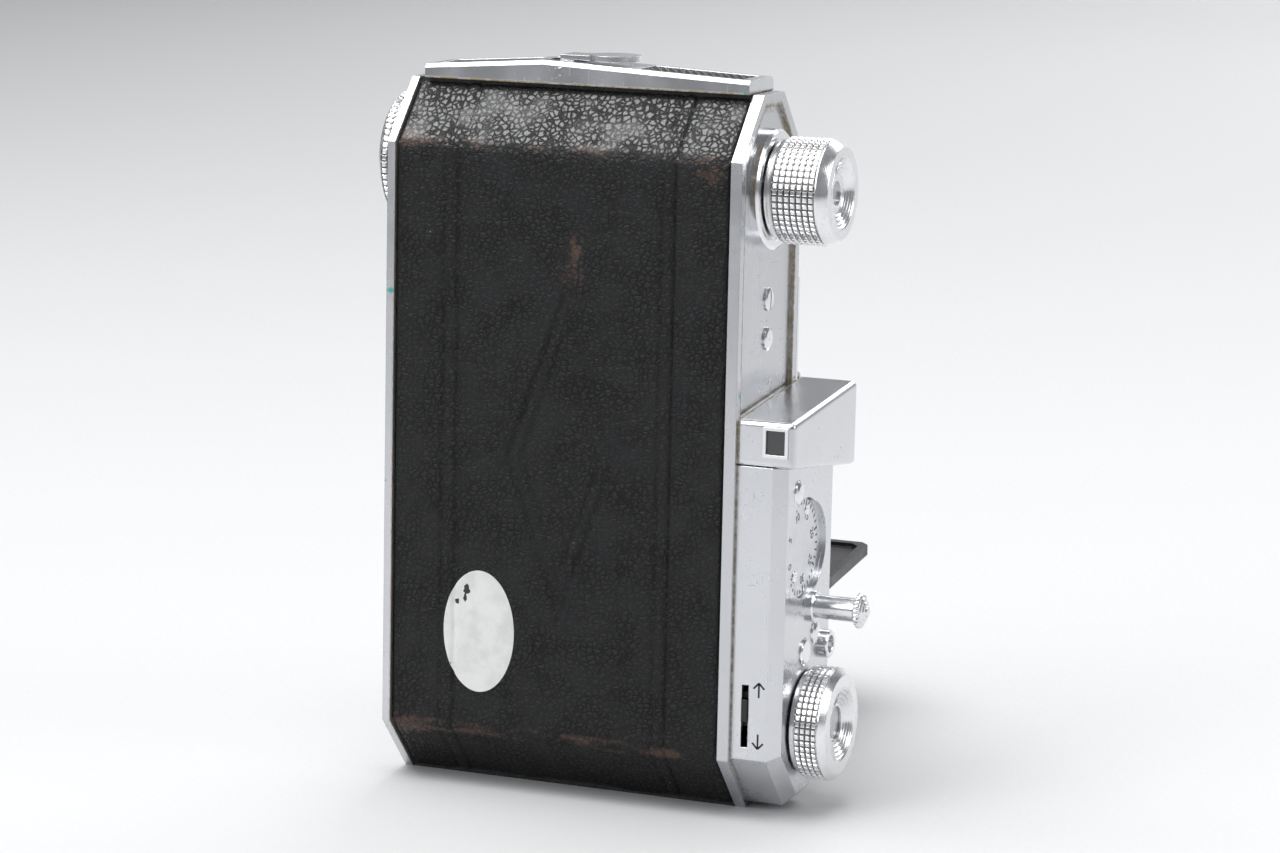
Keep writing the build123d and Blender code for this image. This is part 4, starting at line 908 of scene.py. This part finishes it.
def make_tunnel():
    """1 inside the finder's tapered tunnel: with t running 0 to 1 from the rear window to the front
    one, the point's height is within half a height that grows with t of a middle that sinks with t."""
    group, given, out = new_group("Finder tunnel", [("Vector", VECTOR, (0, 0, 0))], [("Mask", FLOAT)])
    t = Tree(group)
    x, y, z = t.parts(given.outputs["Vector"])
    along = t.between(y, -0.0132, 0.0180)
    middle = t.minus(0.06385, t.times(along, 0.0006))
    half = t.plus(0.0034, t.times(along, 0.0035))
    least = t.minus(half, t.math("ABSOLUTE", t.minus(z, middle)))
    for gap in (t.minus(x, 0.0363), t.minus(0.04095, x), t.plus(y, 0.0124)):
        least = t.least(least, gap)
    t.put(out.inputs["Mask"], t.math("GREATER_THAN", least, 0.0))


# --- materials ----------------------------------------------------------------------------------
def new_material(name, roughness=0.4, metallic=0.0, **fixed):
    material = bpy.data.materials.new(name)
    material.use_nodes = True
    shader = material.node_tree.nodes["Principled BSDF"]
    shader.inputs["Roughness"].default_value = roughness
    shader.inputs["Metallic"].default_value = metallic
    for label, value in fixed.items():
        shader.inputs[label.replace("_", " ")].default_value = value
    tree = Tree(material.node_tree)
    place = material.node_tree.nodes.new("ShaderNodeTexCoord").outputs["Object"]
    return material, tree, shader, place


def bump(tree, shader, height, distance, strength=1.0, soft_edge=0.0):
    """Feeds a height into the shader's normal, over edges softened by the given radius."""
    node = tree.tree.nodes.new("ShaderNodeBump")
    node.inputs["Distance"].default_value = distance
    node.inputs["Strength"].default_value = strength
    tree.put(node.inputs["Height"], height)
    if soft_edge:
        edge = tree.tree.nodes.new("ShaderNodeBevel")
        edge.samples = 4
        edge.inputs["Radius"].default_value = soft_edge
        tree.put(node.inputs["Normal"], edge.outputs[0])
    tree.put(shader.inputs["Normal"], node.outputs[0])


def leather_material():
    """Black pebbled leather, browned where its bends are rubbed, with a scuff and stray dust, and its
    grain's creases darkened as painted shade.
    """
    c = colours()
    material, t, shader, place = new_material("pebbled_leather", 0.42, Specular_IOR_Level=0.34,
                                              Coat_Roughness=0.26)
    z = t.parts(place)[2]
    rubbed = 0.0
    for level, width, strength in ((LENGTH - CORNER_Z + 0.3, 1.0, 0.75), (CORNER_Z + 0.1, 1.3, 0.9)):
        band = t.group("Band", Value=z, Level=level * MM, Width=width * MM * 0.6)["Mask"]
        patch = t.between(t.noise(t.stretch(place, (1.0, 1.0, 3.0)), 190.0, 4.0), 0.42, 0.68)
        rubbed = t.most(rubbed, t.times(t.times(band, patch), strength))
    for centre, spread, strength in (((3.0, -14.2, 93.4), (1.5, 3.0, 3.6), 0.8),
                                     ((2.2, -14.2, 89.5), (3.4, 3.0, 2.6), 0.35),
                                     ((26.6, -14.0, 107.6), (3.0, 3.0, 2.2), 0.6),
                                     ((-28.0, -13.0, 110.6), (3.4, 4.0, 2.0), 0.7),
                                     ((-27.5, -13.2, 9.6), (5.5, 4.0, 2.8), 0.8)):
        spot = t.group("Spot", Vector=place, Centre=metres(centre), Spread=metres(spread),
                       Ragged=0.9, Grain=900.0)["Mask"]
        rubbed = t.most(rubbed, t.times(spot, strength))
    grain = t.group("Leather grain", Vector=place, Cell_Size=sizes().grain_size,
                    Worn=t.times(rubbed, 0.6))
    base = t.mix(t.between(t.noise(place, 90.0, 4.0), 0.35, 0.7), list(c.leather),
                 [c.leather[0] * 1.15, c.leather[1] * 1.15, c.leather[2] * 1.17, 1])
    base = t.mix(rubbed, base, list(c.scuff))
    # painted shade: the grain's creases are darkened in the colour
    base = t.mix(t.times(grain["Crease"], 0.95), base, (0.004, 0.004, 0.0045, 1))
    dust = t.times(t.between(t.cells(place, 420.0, "F1"), 0.035, 0.07, 1.0, 0.0),
                   t.between(t.noise(place, 300.0), 0.6, 0.66))
    base = t.mix(t.times(dust, 0.6), base, (0.35, 0.42, 0.40, 1))
    t.put(shader.inputs["Base Color"], base)
    rough = t.between(t.noise(place, 240.0), 0.3, 0.7, 0.38, 0.48)
    bend = t.between(z, (LENGTH - CORNER_Z) * MM, (LENGTH - CORNER_Z + 1.2) * MM)
    rough = t.minus(rough, t.times(bend, 0.12))
    t.put(shader.inputs["Roughness"], t.plus(rough, t.times(grain["Crease"], 0.4)))
    polish = t.times(bend, t.minus(1.0, t.times(grain["Crease"], 1.6), clamp=True))
    t.put(shader.inputs["Coat Weight"], polish)
    bump(t, shader, grain["Height"], 0.00014)
    return material


def bellows_material():
    """Thin black leather of the bellows, dull, with a fine grain and greyed patches."""
    material, t, shader, place = new_material("bellows_leather", 0.55)
    grain = t.group("Leather grain", Vector=place, Cell_Size=0.0005, Worn=0.3)
    grey = t.between(t.noise(place, 420.0), 0.5, 0.7)
    t.put(shader.inputs["Base Color"], t.mix(t.times(grey, 0.5), (0.013, 0.013, 0.014, 1),
                                             (0.04, 0.037, 0.034, 1)))
    t.put(shader.inputs["Roughness"], t.between(t.noise(place, 300.0), 0.3, 0.7, 0.48, 0.66))
    bump(t, shader, grain["Height"], 0.00005)
    return material


def chrome_material(name, base, rough, grime_level=0.4, soft_edge=0.00022, verdigris=(), seams=(), rim=None,
                    tunnel=False, grain=0.000004):
    """Chrome over satin or polished metal. Seams are (axis, level, width) lines where dirt gathers, rim
    is the distance in from the plate's outline where it does, and verdigris is green spots."""
    c = colours()
    material, t, shader, place = new_material(name, rough, 1.0)
    wear = t.group("Satin wear", Vector=place)
    tone = t.between(wear["Tone"], 0.3, 0.7, 0.93, 1.03)
    shade = t.vector("SCALE", base[:3])
    t.put(shade.node.inputs["Scale"], tone)
    dirt = t.times(wear["Pit"], 0.5)
    ragged = t.between(t.noise(place, 900.0, 4.0, 0.65), 0.36, 0.62)
    if rim is not None:
        inward = t.group("Rim distance", Vector=place)["Distance"]
        line = t.group("Band", Value=inward, Level=rim * MM, Width=0.00022)["Mask"]
        halo = t.group("Band", Value=inward, Level=(rim + 0.25) * MM, Width=0.0006)["Mask"]
        slow = t.between(t.noise(place, 55.0, 3.0), 0.4, 0.62)
        dirt = t.most(dirt, t.times(line, t.plus(0.35, t.times(ragged, 0.6))))
        dirt = t.most(dirt, t.times(t.times(halo, ragged), t.times(slow, 0.5)))
    for axis, level, width in seams:
        line = t.group("Band", Value=t.parts(place)[axis], Level=level * MM, Width=width * MM)["Mask"]
        dirt = t.most(dirt, t.times(line, t.plus(0.3, t.times(ragged, 0.7))))
    dirt = t.times(dirt, grime_level * 2.0, clamp=True)
    tint = t.mix(t.times(wear["Scratch"], 0.35), shade, darker(base, 0.72))
    tint = t.mix(dirt, tint, list(c.grime))
    green = 0.0
    for centre, radius in verdigris:
        spot = t.group("Spot", Vector=place, Centre=metres(centre), Spread=[radius * MM] * 3,
                       Ragged=0.6, Grain=2500.0)["Mask"]
        green = t.most(green, spot)
    if verdigris:
        tint = t.mix(green, tint, (0.05, 0.33, 0.30, 1))
    metal = t.minus(1.0, t.most(t.times(dirt, 0.8), green), clamp=True)
    roughness = t.plus(t.between(wear["Tone"], 0.3, 0.7, rough - 0.04, rough + 0.05),
                       t.plus(t.times(wear["Scratch"], 0.1), t.times(dirt, 0.35)))
    if tunnel:
        inside = t.group("Finder tunnel", Vector=place)["Mask"]
        tint = t.mix(inside, tint, (0.006, 0.006, 0.006, 1))
        metal = t.times(metal, t.minus(1.0, inside))
        roughness = t.most(roughness, t.times(inside, 0.8))
    t.put(shader.inputs["Base Color"], tint)
    t.put(shader.inputs["Metallic"], metal)
    t.put(shader.inputs["Roughness"], roughness)
    height = t.minus(wear["Height"], t.times(wear["Scratch"], 0.6))
    bump(t, shader, height, grain, soft_edge=soft_edge)
    return material


def turned_metal_material(name, base, rough, centre, axis, grime_spread=0.5, grip=None):
    """Turned bright metal: fine rings about an axis, darker where it lies low in the knurls' grooves. The
    grip is the knurls' outer radius and the places where they begin and end along the axis."""
    c = colours()
    material, t, shader, place = new_material(name, rough, 1.0)
    parts = t.parts(t.vector("SUBTRACT", place, metres(centre)))
    a, b = (parts[1], parts[2]) if axis == "x" else (parts[0], parts[2])
    radius = t.math("SQRT", t.plus(t.times(a, a), t.times(b, b)))
    rings = t.math("SINE", t.times(radius, 42000.0))
    uneven = t.noise(place, 700.0, 4.0)
    wear = t.group("Satin wear", Vector=place, Grain=5000.0)
    dirt = t.times(t.between(t.noise(place, 650.0, 4.0, 0.6), 0.52, 0.72), grime_spread)
    green = t.between(t.noise(place, 820.0, 2.0), 0.735, 0.78)
    tint = t.mix(t.times(dirt, 0.55), list(base),
                 [v * w for v, w in zip(base[:3], (0.72, 0.66, 0.52))] + [1])
    tint = t.mix(t.times(wear["Pit"], 0.5), tint, list(c.grime))
    # darker where the surface lies low in the knurls' grooves
    if grip is not None:
        outer, first, last = metres(grip)
        low = t.between(radius, outer - 0.00032, outer - 0.00008, 1.0, 0.0)
        along = t.parts(place)[0]
        spans = t.times(t.math("GREATER_THAN", along, first), t.math("LESS_THAN", along, last))
        low = t.times(low, spans)
        tint = t.mix(t.times(low, 0.7), tint, (0.2, 0.19, 0.175, 1))
    tint = t.mix(t.times(green, 0.7), tint, (0.10, 0.36, 0.32, 1))
    t.put(shader.inputs["Base Color"], tint)
    t.put(shader.inputs["Roughness"], t.between(uneven, 0.3, 0.7, rough - 0.04, rough + 0.08))
    t.put(shader.inputs["Metallic"], t.minus(1.0, t.times(green, 0.7)))
    height = t.plus(t.times(rings, 0.5), t.times(wear["Height"], 0.8))
    bump(t, shader, height, 0.000004)
    return material


def enamel_material(name="black_enamel", rough=0.34, grain=0.00001, edge=0.00025):
    """Stoved black enamel with dust, rubs and slightly uneven gloss."""
    c = colours()
    material, t, shader, place = new_material(name, rough)
    slow = t.noise(place, 140.0, 4.0)
    dust = t.between(t.noise(place, 2400.0, 4.0, 0.7), 0.58, 0.78)
    tint = t.mix(t.times(dust, 0.25), list(c.enamel), (0.09, 0.085, 0.08, 1))
    t.put(shader.inputs["Base Color"], tint)
    t.put(shader.inputs["Roughness"], t.between(slow, 0.3, 0.7, rough - 0.05, rough + 0.1))
    bump(t, shader, t.noise(place, 3200.0, 3.0), grain, soft_edge=edge)
    return material


def crackle_material():
    """Black crackle paint inside the body."""
    material, t, shader, place = new_material("crackle_paint", 0.6)
    cells = t.between(t.cells(place, 1500.0), 0.0, 0.25)
    t.put(shader.inputs["Base Color"], t.mix(cells, (0.006, 0.006, 0.006, 1), (0.022, 0.022, 0.023, 1)))
    t.put(shader.inputs["Roughness"], t.between(t.noise(place, 500.0), 0.3, 0.7, 0.5, 0.7))
    bump(t, shader, cells, 0.00004)
    return material


def steel_material(name="brushed_steel", base=(0.56, 0.56, 0.57, 1), rough=0.34):
    """Plain steel brushed along its length, a little stained."""
    material, t, shader, place = new_material(name, rough, 1.0)
    lines = t.noise(t.stretch(place, (1.0, 1.0, 0.05)), 4200.0, 2.0)
    stain = t.between(t.noise(place, 260.0, 5.0, 0.6), 0.5, 0.75)
    t.put(shader.inputs["Base Color"], t.mix(t.times(stain, 0.5), list(base),
                                             [base[0] * 0.62, base[1] * 0.58, base[2] * 0.5, 1]))
    t.put(shader.inputs["Roughness"], t.between(lines, 0.3, 0.7, rough - 0.07, rough + 0.09))
    bump(t, shader, lines, 0.000006, soft_edge=0.00015)
    return material


def glass_material(name, tint, dark=False):
    """Coated glass: clear with a faint tint, and specks of dust in its roughness. When dark, it is opaque,
    and its dark tint is painted shade of the dark inside seen through it.
    """
    material, t, shader, place = new_material(name, 0.03, 0.0, IOR=1.55)
    # when dark the glass is opaque: its near-black tint is painted shade
    shader.inputs["Transmission Weight"].default_value = 0.0 if dark else 1.0
    shader.inputs["Coat Weight"].default_value = 0.6
    shader.inputs["Coat Roughness"].default_value = 0.03
    specks = t.between(t.noise(place, 3800.0, 3.0), 0.66, 0.74)
    t.put(shader.inputs["Base Color"], t.mix(specks, list(tint), darker(tint, 0.8)))
    t.put(shader.inputs["Roughness"], t.between(t.noise(place, 900.0), 0.4, 0.8, 0.02, 0.10))
    return material


def label_material():
    """Silver-white paper of the label, faintly marbled, with two black chips near its top left."""
    c = colours()
    material, t, shader, place = new_material("blank_label", 0.38)
    marble = t.noise(place, 260.0, 6.0, 0.65)
    tint = t.mix(t.between(marble, 0.4, 0.7), list(c.label), darker(c.label, 0.86))
    speck = t.between(t.noise(place, 2600.0, 4.0, 0.7), 0.66, 0.74)
    tint = t.mix(t.times(speck, 0.4), tint, (0.33, 0.33, 0.32, 1))
    chips = 0.0
    for centre, spread in (((-15.9, -14.1, 34.6), (0.75, 3.0, 1.25)),
                           ((-16.2, -14.1, 33.2), (0.42, 3.0, 0.95)),
                           ((-17.6, -14.1, 32.3), (0.6, 3.0, 0.7))):
        spot = t.group("Spot", Vector=place, Centre=metres(centre), Spread=metres(spread),
                       Ragged=0.75, Grain=1300.0)["Mask"]
        chips = t.most(chips, t.between(spot, 0.3, 0.45))
    t.put(shader.inputs["Base Color"], t.mix(chips, tint, (0.022, 0.02, 0.018, 1)))
    t.put(shader.inputs["Metallic"], t.times(t.minus(1.0, chips), 0.25))
    t.put(shader.inputs["Roughness"], t.between(marble, 0.35, 0.7, 0.3, 0.46))
    bump(t, shader, t.noise(place, 1500.0, 5.0), 0.00001)
    return material


def paint_material(name, value, rough=0.45):
    """Paint in an engraved mark, a little worn through."""
    material, t, shader, place = new_material(name, rough)
    worn = t.between(t.noise(place, 2200.0, 3.0), 0.6, 0.72)
    t.put(shader.inputs["Base Color"], t.mix(t.times(worn, 0.35), value,
                                             [0.5 * v + 0.12 for v in value[:3]] + [1]))
    t.put(shader.inputs["Roughness"], t.between(t.noise(place, 1400.0), 0.3, 0.7, rough - 0.06, rough + 0.1))
    return material


def dial_material():
    """The counter's satin disc, spun about its centre."""
    centre = node_centre("counter_dial")
    return turned_metal_material("spun_dial", tuple(colours().satin), 0.33, centre, "x", 0.15)


def finish_node(node, material):
    """Gives every slot of a carried-over CAD piece one finish."""
    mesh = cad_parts[node].data
    if not mesh.materials:
        mesh.materials.append(material)
    for index in range(len(mesh.materials)):
        mesh.materials[index] = material


# --- operators ----------------------------------------------------------------------------------
def knob_finish(name, node, grip, spread=0.5):
    return turned_metal_material(name, tuple(colours().bright), 0.2, node_centre(node), "x", spread, grip)


class CAMERA_OT_shader_groups(bpy.types.Operator):
    """Builds the shader groups that the finishes share"""
    bl_idname = "folding_camera.shader_groups"
    bl_label = "Shader groups"

    def execute(self, context):
        for make in (make_leather_grain, make_spot, make_rim_distance, make_band, make_satin_wear,
                     make_tunnel):
            make()
        return {"FINISHED"}


class CAMERA_OT_coverings(bpy.types.Operator):
    """Makes the leather coverings of the back, the front and the bed"""
    bl_idname = "folding_camera.coverings"
    bl_label = "Leather coverings"

    def execute(self, context):
        leather = leather_material()
        cover = add_piece("back_covering", back_covering_shell(), leather, None,
                          ["back_leather"], 60)

        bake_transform(cover)
        add_piece("front_covering", merged(front_covering_shells()), leather, "body",
                  ["body_leather"], 60)
        add_piece("bed_covering", bed_covering_shell(), leather, "bed",
                  ["bed_door_leather"], 60)
        return {"FINISHED"}


class CAMERA_OT_label(bpy.types.Operator):
    """Lays the blank oval label on the back"""
    bl_idname = "folding_camera.label"
    bl_label = "Blank label"

    def execute(self, context):
        add_piece("blank_label", label_shell(), label_material(), "back")
        return {"FINISHED"}


class CAMERA_OT_bellows(bpy.types.Operator):
    """Makes the pleated bellows"""
    bl_idname = "folding_camera.bellows"
    bl_label = "Bellows"

    def execute(self, context):
        piece = add_piece("pleated_bellows", bellows_shell(), bellows_material(), "body",
                          ["bellows"], 50)
        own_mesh(piece)
        return {"FINISHED"}


class CAMERA_OT_knobs(bpy.types.Operator):
    """Makes the knurled wind knob, rewind knob and tripod disc"""
    bl_idname = "folding_camera.knobs"
    bl_label = "Knurled knobs"

    def execute(self, context):
        s = sizes()
        wind = knob_shell("wind_knob", WIND_GRIP[0], (41.75, 45.6), 4, s.wind_teeth, 6.2, 3.0)
        finish = knob_finish("wind_knob_chrome", "wind_knob", WIND_GRIP)
        add_piece("wind_knob_turned", wind, finish, "winder", ["wind_knob"], 25)
        rewind = knob_shell("rewind_knob", REWIND_GRIP[0], (35.0, 42.3), 7, s.rewind_teeth, 5.9, 2.0)
        finish = knob_finish("rewind_knob_chrome", "rewind_knob", REWIND_GRIP)
        add_piece("rewind_knob_turned", rewind, finish, "rewinder", ["rewind_knob"], 25)
        finish = knob_finish("tripod_chrome", "tripod_socket", TRIPOD_GRIP, 0.7)
        add_piece("tripod_disc", tripod_shell(), finish, "body", ["tripod_socket"], 25)
        return {"FINISHED"}


class CAMERA_OT_release(bpy.types.Operator):
    """Makes the release button, its coil and the selector's toothed finger piece"""
    bl_idname = "folding_camera.release"
    bl_label = "Release and selector"

    def execute(self, context):
        bright = knob_finish("release_chrome", "release_button", None, 0.25)
        add_piece("release_cap", release_button_shell(), bright, "release",
                  ["release_button"], 30)
        steel = steel_material("spring_wire", (0.5, 0.5, 0.5, 1), 0.3)
        coil = add_piece("release_coil", release_spring_shell(), steel, "body",
                         ["release_spring"])
        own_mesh(coil)
        add_piece("selector_finger", slider_shell(), bright, "selector", sharp=20)
        return {"FINISHED"}


class CAMERA_OT_latch(bpy.types.Operator):
    """Makes the ribbed inserts of the latch strap"""
    bl_idname = "folding_camera.latch"
    bl_label = "Latch inserts"

    def execute(self, context):
        paint = enamel_material("insert_enamel", 0.3, 0.000006, 0.0)
        add_piece("ribbed_inserts", merged(latch_insert_shells()), paint, "body",
                  ["latch_inserts"], 30)
        return {"FINISHED"}


class CAMERA_OT_lens(bpy.types.Operator):
    """Makes the ribbed front ring and the closed blades behind the glass"""
    bl_idname = "folding_camera.lens"
    bl_label = "Lens"

    def execute(self, context):
        ring = turned_metal_material("lens_ring_chrome", (0.74, 0.74, 0.75, 1), 0.24, (0, 0, LENS_Z),
                                     "y", 0.2)
        add_piece("ribbed_lens_ring", focus_ring_shell(), ring, "focus", ["focus_ring"], 25)
        blades = steel_material("blade_steel", (0.09, 0.09, 0.1, 1), 0.38)
        add_piece("shutter_blades", shutter_blades_shell(), blades, "standard", sharp=20)
        return {"FINISHED"}


class CAMERA_OT_marks(bpy.types.Operator):
    """Engraves the dial's numbers, the lens rings' numbers and the plain arrows"""
    bl_idname = "folding_camera.marks"
    bl_label = "Marks"

    def execute(self, context):
        black = paint_material("black_fill", (0.012, 0.012, 0.012, 1))
        add_piece("dial_numbers", merged(dial_mark_shells()), black, "counter")
        arrows = arrow_shells(36.8, 22.6, 1) + arrow_shells(36.8, 13.9, -1)
        add_piece("selector_arrows", merged(arrows), black, "body")
        index = [strip_shell((HOUSING_TOP, -2.3, 35.2), (HOUSING_TOP, -2.3, 36.3), 0.22, (1, 0, 0))]
        add_piece("dial_index", merged(index), black, "body")
        speeds = ring_figures("1 2 5 10 25 50 100 250 500".split(), 18.4, 37.96, 1.9, 20, 24, "y")
        add_piece("speed_numbers", merged(speeds), black, "speed_ring")
        return {"FINISHED"}


class CAMERA_OT_finishes(bpy.types.Operator):
    """Gives every carried-over CAD piece its finish"""
    bl_idname = "folding_camera.finishes"
    bl_label = "Finishes"

    def execute(self, context):
        c = colours()
        satin, bright = tuple(c.satin), tuple(c.bright)
        plate = darker(satin, 0.87)
        top = chrome_material("top_plate_chrome", plate, 0.25, 0.45, rim=2.0,
                              verdigris=[((32.0, -12.6, 71.5), 0.7), ((31.9, -13.8, 40.0), 0.25)])
        bottom = chrome_material("bottom_plate_chrome", plate, 0.27, 0.3,
                                 verdigris=[((-30.6, -14.2, 84.6), 0.75), ((-31.2, -14.0, 52.0), 0.35)],
                                 seams=[(0, -30.02, 0.12)])
        housing = chrome_material("housing_chrome", satin, 0.26, 0.4, seams=[(0, 32.02, 0.16)])
        finder = chrome_material("finder_chrome", satin, 0.22, 0.5, seams=[(0, 32.05, 0.22)],
                                 verdigris=[((33.0, -10.8, 68.4), 0.45), ((36.5, -10.0, 68.9), 0.4)],
                                 tunnel=True)
        strap = chrome_material("strap_chrome", satin, 0.21, 0.55, seams=[(2, LENGTH + 0.08, 0.16)],
                                verdigris=[((29.0, -5.8, LENGTH + 0.4), 0.5)])
        polished = chrome_material("polished_chrome", bright, 0.16, 0.25, soft_edge=0.0001, grain=0.000002)
        enamel = enamel_material()
        dull = enamel_material("dull_enamel", 0.5, 0.00002)
        crackle = crackle_material()
        steel = steel_material()
        brass = steel_material("brass_works", (0.60, 0.46, 0.20, 1), 0.3)
        plans = {
            top: ["top_plate"], bottom: ["bottom_plate"], housing: ["top_housing"],
            finder: ["finder_housing"],
            strap: ["latch_strap"],
            polished: ["eyepiece_frame", "rewind_collar", "release_collar", "latch_lever", "housing_screws",
                       "plate_screws", "counter_dial_screws", "film_release_button",
                       "cable_release_socket", "platform_rim", "aperture_lever", "cocking_lever",
                       "shutter_release_lever", "bed_release_button", "latch_pin", "shutter_speed_ring"],
            dial_material(): ["counter_dial"],
            enamel: ["bed_door", "front_platform", "shutter_housing", "lens_standard"],
            dull: ["selector_lever", "take_up_spool", "back_door", "rear_lens_mount"],
            crackle: ["winding_chamber", "lens_frame", "cassette_chamber"],
            steel: ["wind_shaft", "rewind_shaft", "door_struts", "pressure_plate", "pressure_spring",
                    "sprocket_shaft", "film_sprocket", "ratchet_wheel", "rewind_detent_ring",
                    "bed_hinge_pins", "back_hinge_pin"],
            brass: ["counter_gear"],
            # the eyepiece: opaque near-black glass, painted shade of the finder's inside
            glass_material("finder_glass", (0.02, 0.022, 0.026, 1), True): ["eyepiece_lens"],
            glass_material("clear_glass", (0.9, 0.93, 0.95, 1)): ["finder_front_lens", "rear_lens"],
            glass_material("coated_glass", (0.86, 0.88, 0.95, 1)): ["front_lens"],
        }
        for material, nodes in plans.items():
            for node in nodes:
                finish_node(node, material)
        return {"FINISHED"}


def area_light(name, place, aim, size, power, tint=(1, 1, 1)):
    """A soft box: a square area light at a place, turned to face a point."""
    data = bpy.data.lights.new(name, "AREA")
    data.size, data.energy, data.color = size, power, tint
    light = bpy.data.objects.new(name, data)
    light.location = place
    light.rotation_euler = (Vector(aim) - Vector(place)).to_track_quat("-Z", "Y").to_euler()
    bpy.context.scene.collection.objects.link(light)
    return light


def floor_material():
    """Pale paper, faintly toothed: a little lighter far off, as painted light, and darker towards the
    viewer, as painted shade.
    """
    c = colours()
    material, t, shader, place = new_material("pale_floor", 0.6)
    y = t.parts(place)[1]
    # painted light: a little lighter far off
    base = t.mix(t.between(y, 0.1, 1.6), list(c.floor), (0.54, 0.545, 0.55, 1))
    # painted shade: darker towards the viewer and behind the camera
    base = t.mix(t.between(y, -1.0, -0.3, 1.0, 0.0), base, (0.13, 0.132, 0.135, 1))
    tooth = t.noise(place, 900.0, 3.0)
    t.put(shader.inputs["Base Color"], t.mix(t.times(tooth, 0.03), base, (0.7, 0.7, 0.7, 1)))
    t.put(shader.inputs["Roughness"], t.between(tooth, 0.3, 0.7, 0.55, 0.7))
    return material


class CAMERA_OT_stage(bpy.types.Operator):
    """Sets the pale sweep, the soft boxes and the camera"""
    bl_idname = "folding_camera.stage"
    bl_label = "Stage"

    def execute(self, context):
        # the sweep: flat to y = 2.4, a quarter turn, then straight up
        t = np.linspace(0, np.pi / 2, 24)
        y = np.concatenate([[-2.6, -1.0, 0.0, 1.0], 2.0 + 0.8 * np.sin(t), [2.8]])
        z = np.concatenate([[0, 0, 0, 0], 0.8 - 0.8 * np.cos(t), [2.6]])
        x = np.linspace(-3.2, 3.2, 9)
        points = np.stack(np.broadcast_arrays(x[None, :], y[:, None], z[:, None]), -1).reshape(-1, 3)
        mesh = bpy.data.meshes.new("pale_sweep")
        mesh.from_pydata(points.tolist(), [], grid_faces(len(y), len(x)).tolist())
        mesh.polygons.foreach_set("use_smooth", np.ones(len(mesh.polygons), bool))
        mesh.materials.append(floor_material())
        sweep = bpy.data.objects.new("pale_sweep", mesh)
        context.scene.collection.objects.link(sweep)
        aim = (0.0, 0.0, 0.06)
        area_light("overhead_box", (-0.24, -0.14, 1.15), aim, 1.15, 23.0)
        area_light("front_box", (-0.8, -1.3, 0.95), aim, 0.9, 10.0, (0.97, 0.985, 1.0))
        area_light("right_box", (1.5, 0.1, 0.8), aim, 0.9, 7.0)
        area_light("far_box", (0.2, 1.9, 1.3), (0.1, 1.9, 0.0), 1.5, 26.0)
        world = bpy.data.worlds.new("soft_room")
        world.use_nodes = True
        world.node_tree.nodes["Background"].inputs["Color"].default_value = (0.86, 0.89, 0.93, 1)
        world.node_tree.nodes["Background"].inputs["Strength"].default_value = 0.3
        context.scene.world = world
        context.scene.view_settings.view_transform = "Standard"
        place = Vector(CAMERA_PLACE)
        back = (place - Vector(CAMERA_AIM)).normalized()
        turn = math.radians(CAMERA_TURN)
        right = Vector((math.cos(turn), math.sin(turn), 0))
        up = back.cross(right).normalized()
        right, up = (right + CAMERA_ROLL * up).normalized(), (up - CAMERA_ROLL * right).normalized()
        data = bpy.data.cameras.new("camera")
        data.sensor_width, data.lens = 36.0, CAMERA_LENS
        data.clip_start, data.clip_end = 0.01, 30.0
        camera = bpy.data.objects.new("camera", data)
        camera.matrix_world = Matrix((
            (right.x, up.x, back.x, place.x), (right.y, up.y, back.y, place.y),
            (right.z, up.z, back.z, place.z),
            (0, 0, 0, 1)))
        context.scene.collection.objects.link(camera)
        context.scene.camera = camera
        return {"FINISHED"}


STEPS = [CAMERA_OT_shader_groups, CAMERA_OT_coverings, CAMERA_OT_label, CAMERA_OT_bellows, CAMERA_OT_knobs,
         CAMERA_OT_release, CAMERA_OT_latch, CAMERA_OT_lens, CAMERA_OT_marks, CAMERA_OT_finishes,
         CAMERA_OT_stage]


class CAMERA_PT_panel(bpy.types.Panel):
    """Lists the build's steps with their sizes and colours"""
    bl_idname = "CAMERA_PT_panel"
    bl_label = "Folding Camera"
    bl_space_type = "VIEW_3D"
    bl_region_type = "UI"
    bl_category = "Folding Camera"

    def draw(self, context):
        for step in STEPS:
            self.layout.operator(step.bl_idname)
        for group in (context.scene.folding_camera_sizes, context.scene.folding_camera_colours):
            for name in group.__annotations__:
                self.layout.prop(group, name)


CLASSES = [CameraSizes, CameraColours, *STEPS, CAMERA_PT_panel]


def register():
    for item in CLASSES:
        bpy.utils.register_class(item)
    bpy.types.Scene.folding_camera_sizes = bpy.props.PointerProperty(type=CameraSizes)
    bpy.types.Scene.folding_camera_colours = bpy.props.PointerProperty(type=CameraColours)


def unregister():
    del bpy.types.Scene.folding_camera_colours
    del bpy.types.Scene.folding_camera_sizes
    for item in reversed(CLASSES):
        bpy.utils.unregister_class(item)


def main():
    register()
    for step in STEPS:
        group, name = step.bl_idname.split(".")
        getattr(getattr(bpy.ops, group), name)()


if __name__ == "__main__":
    main()
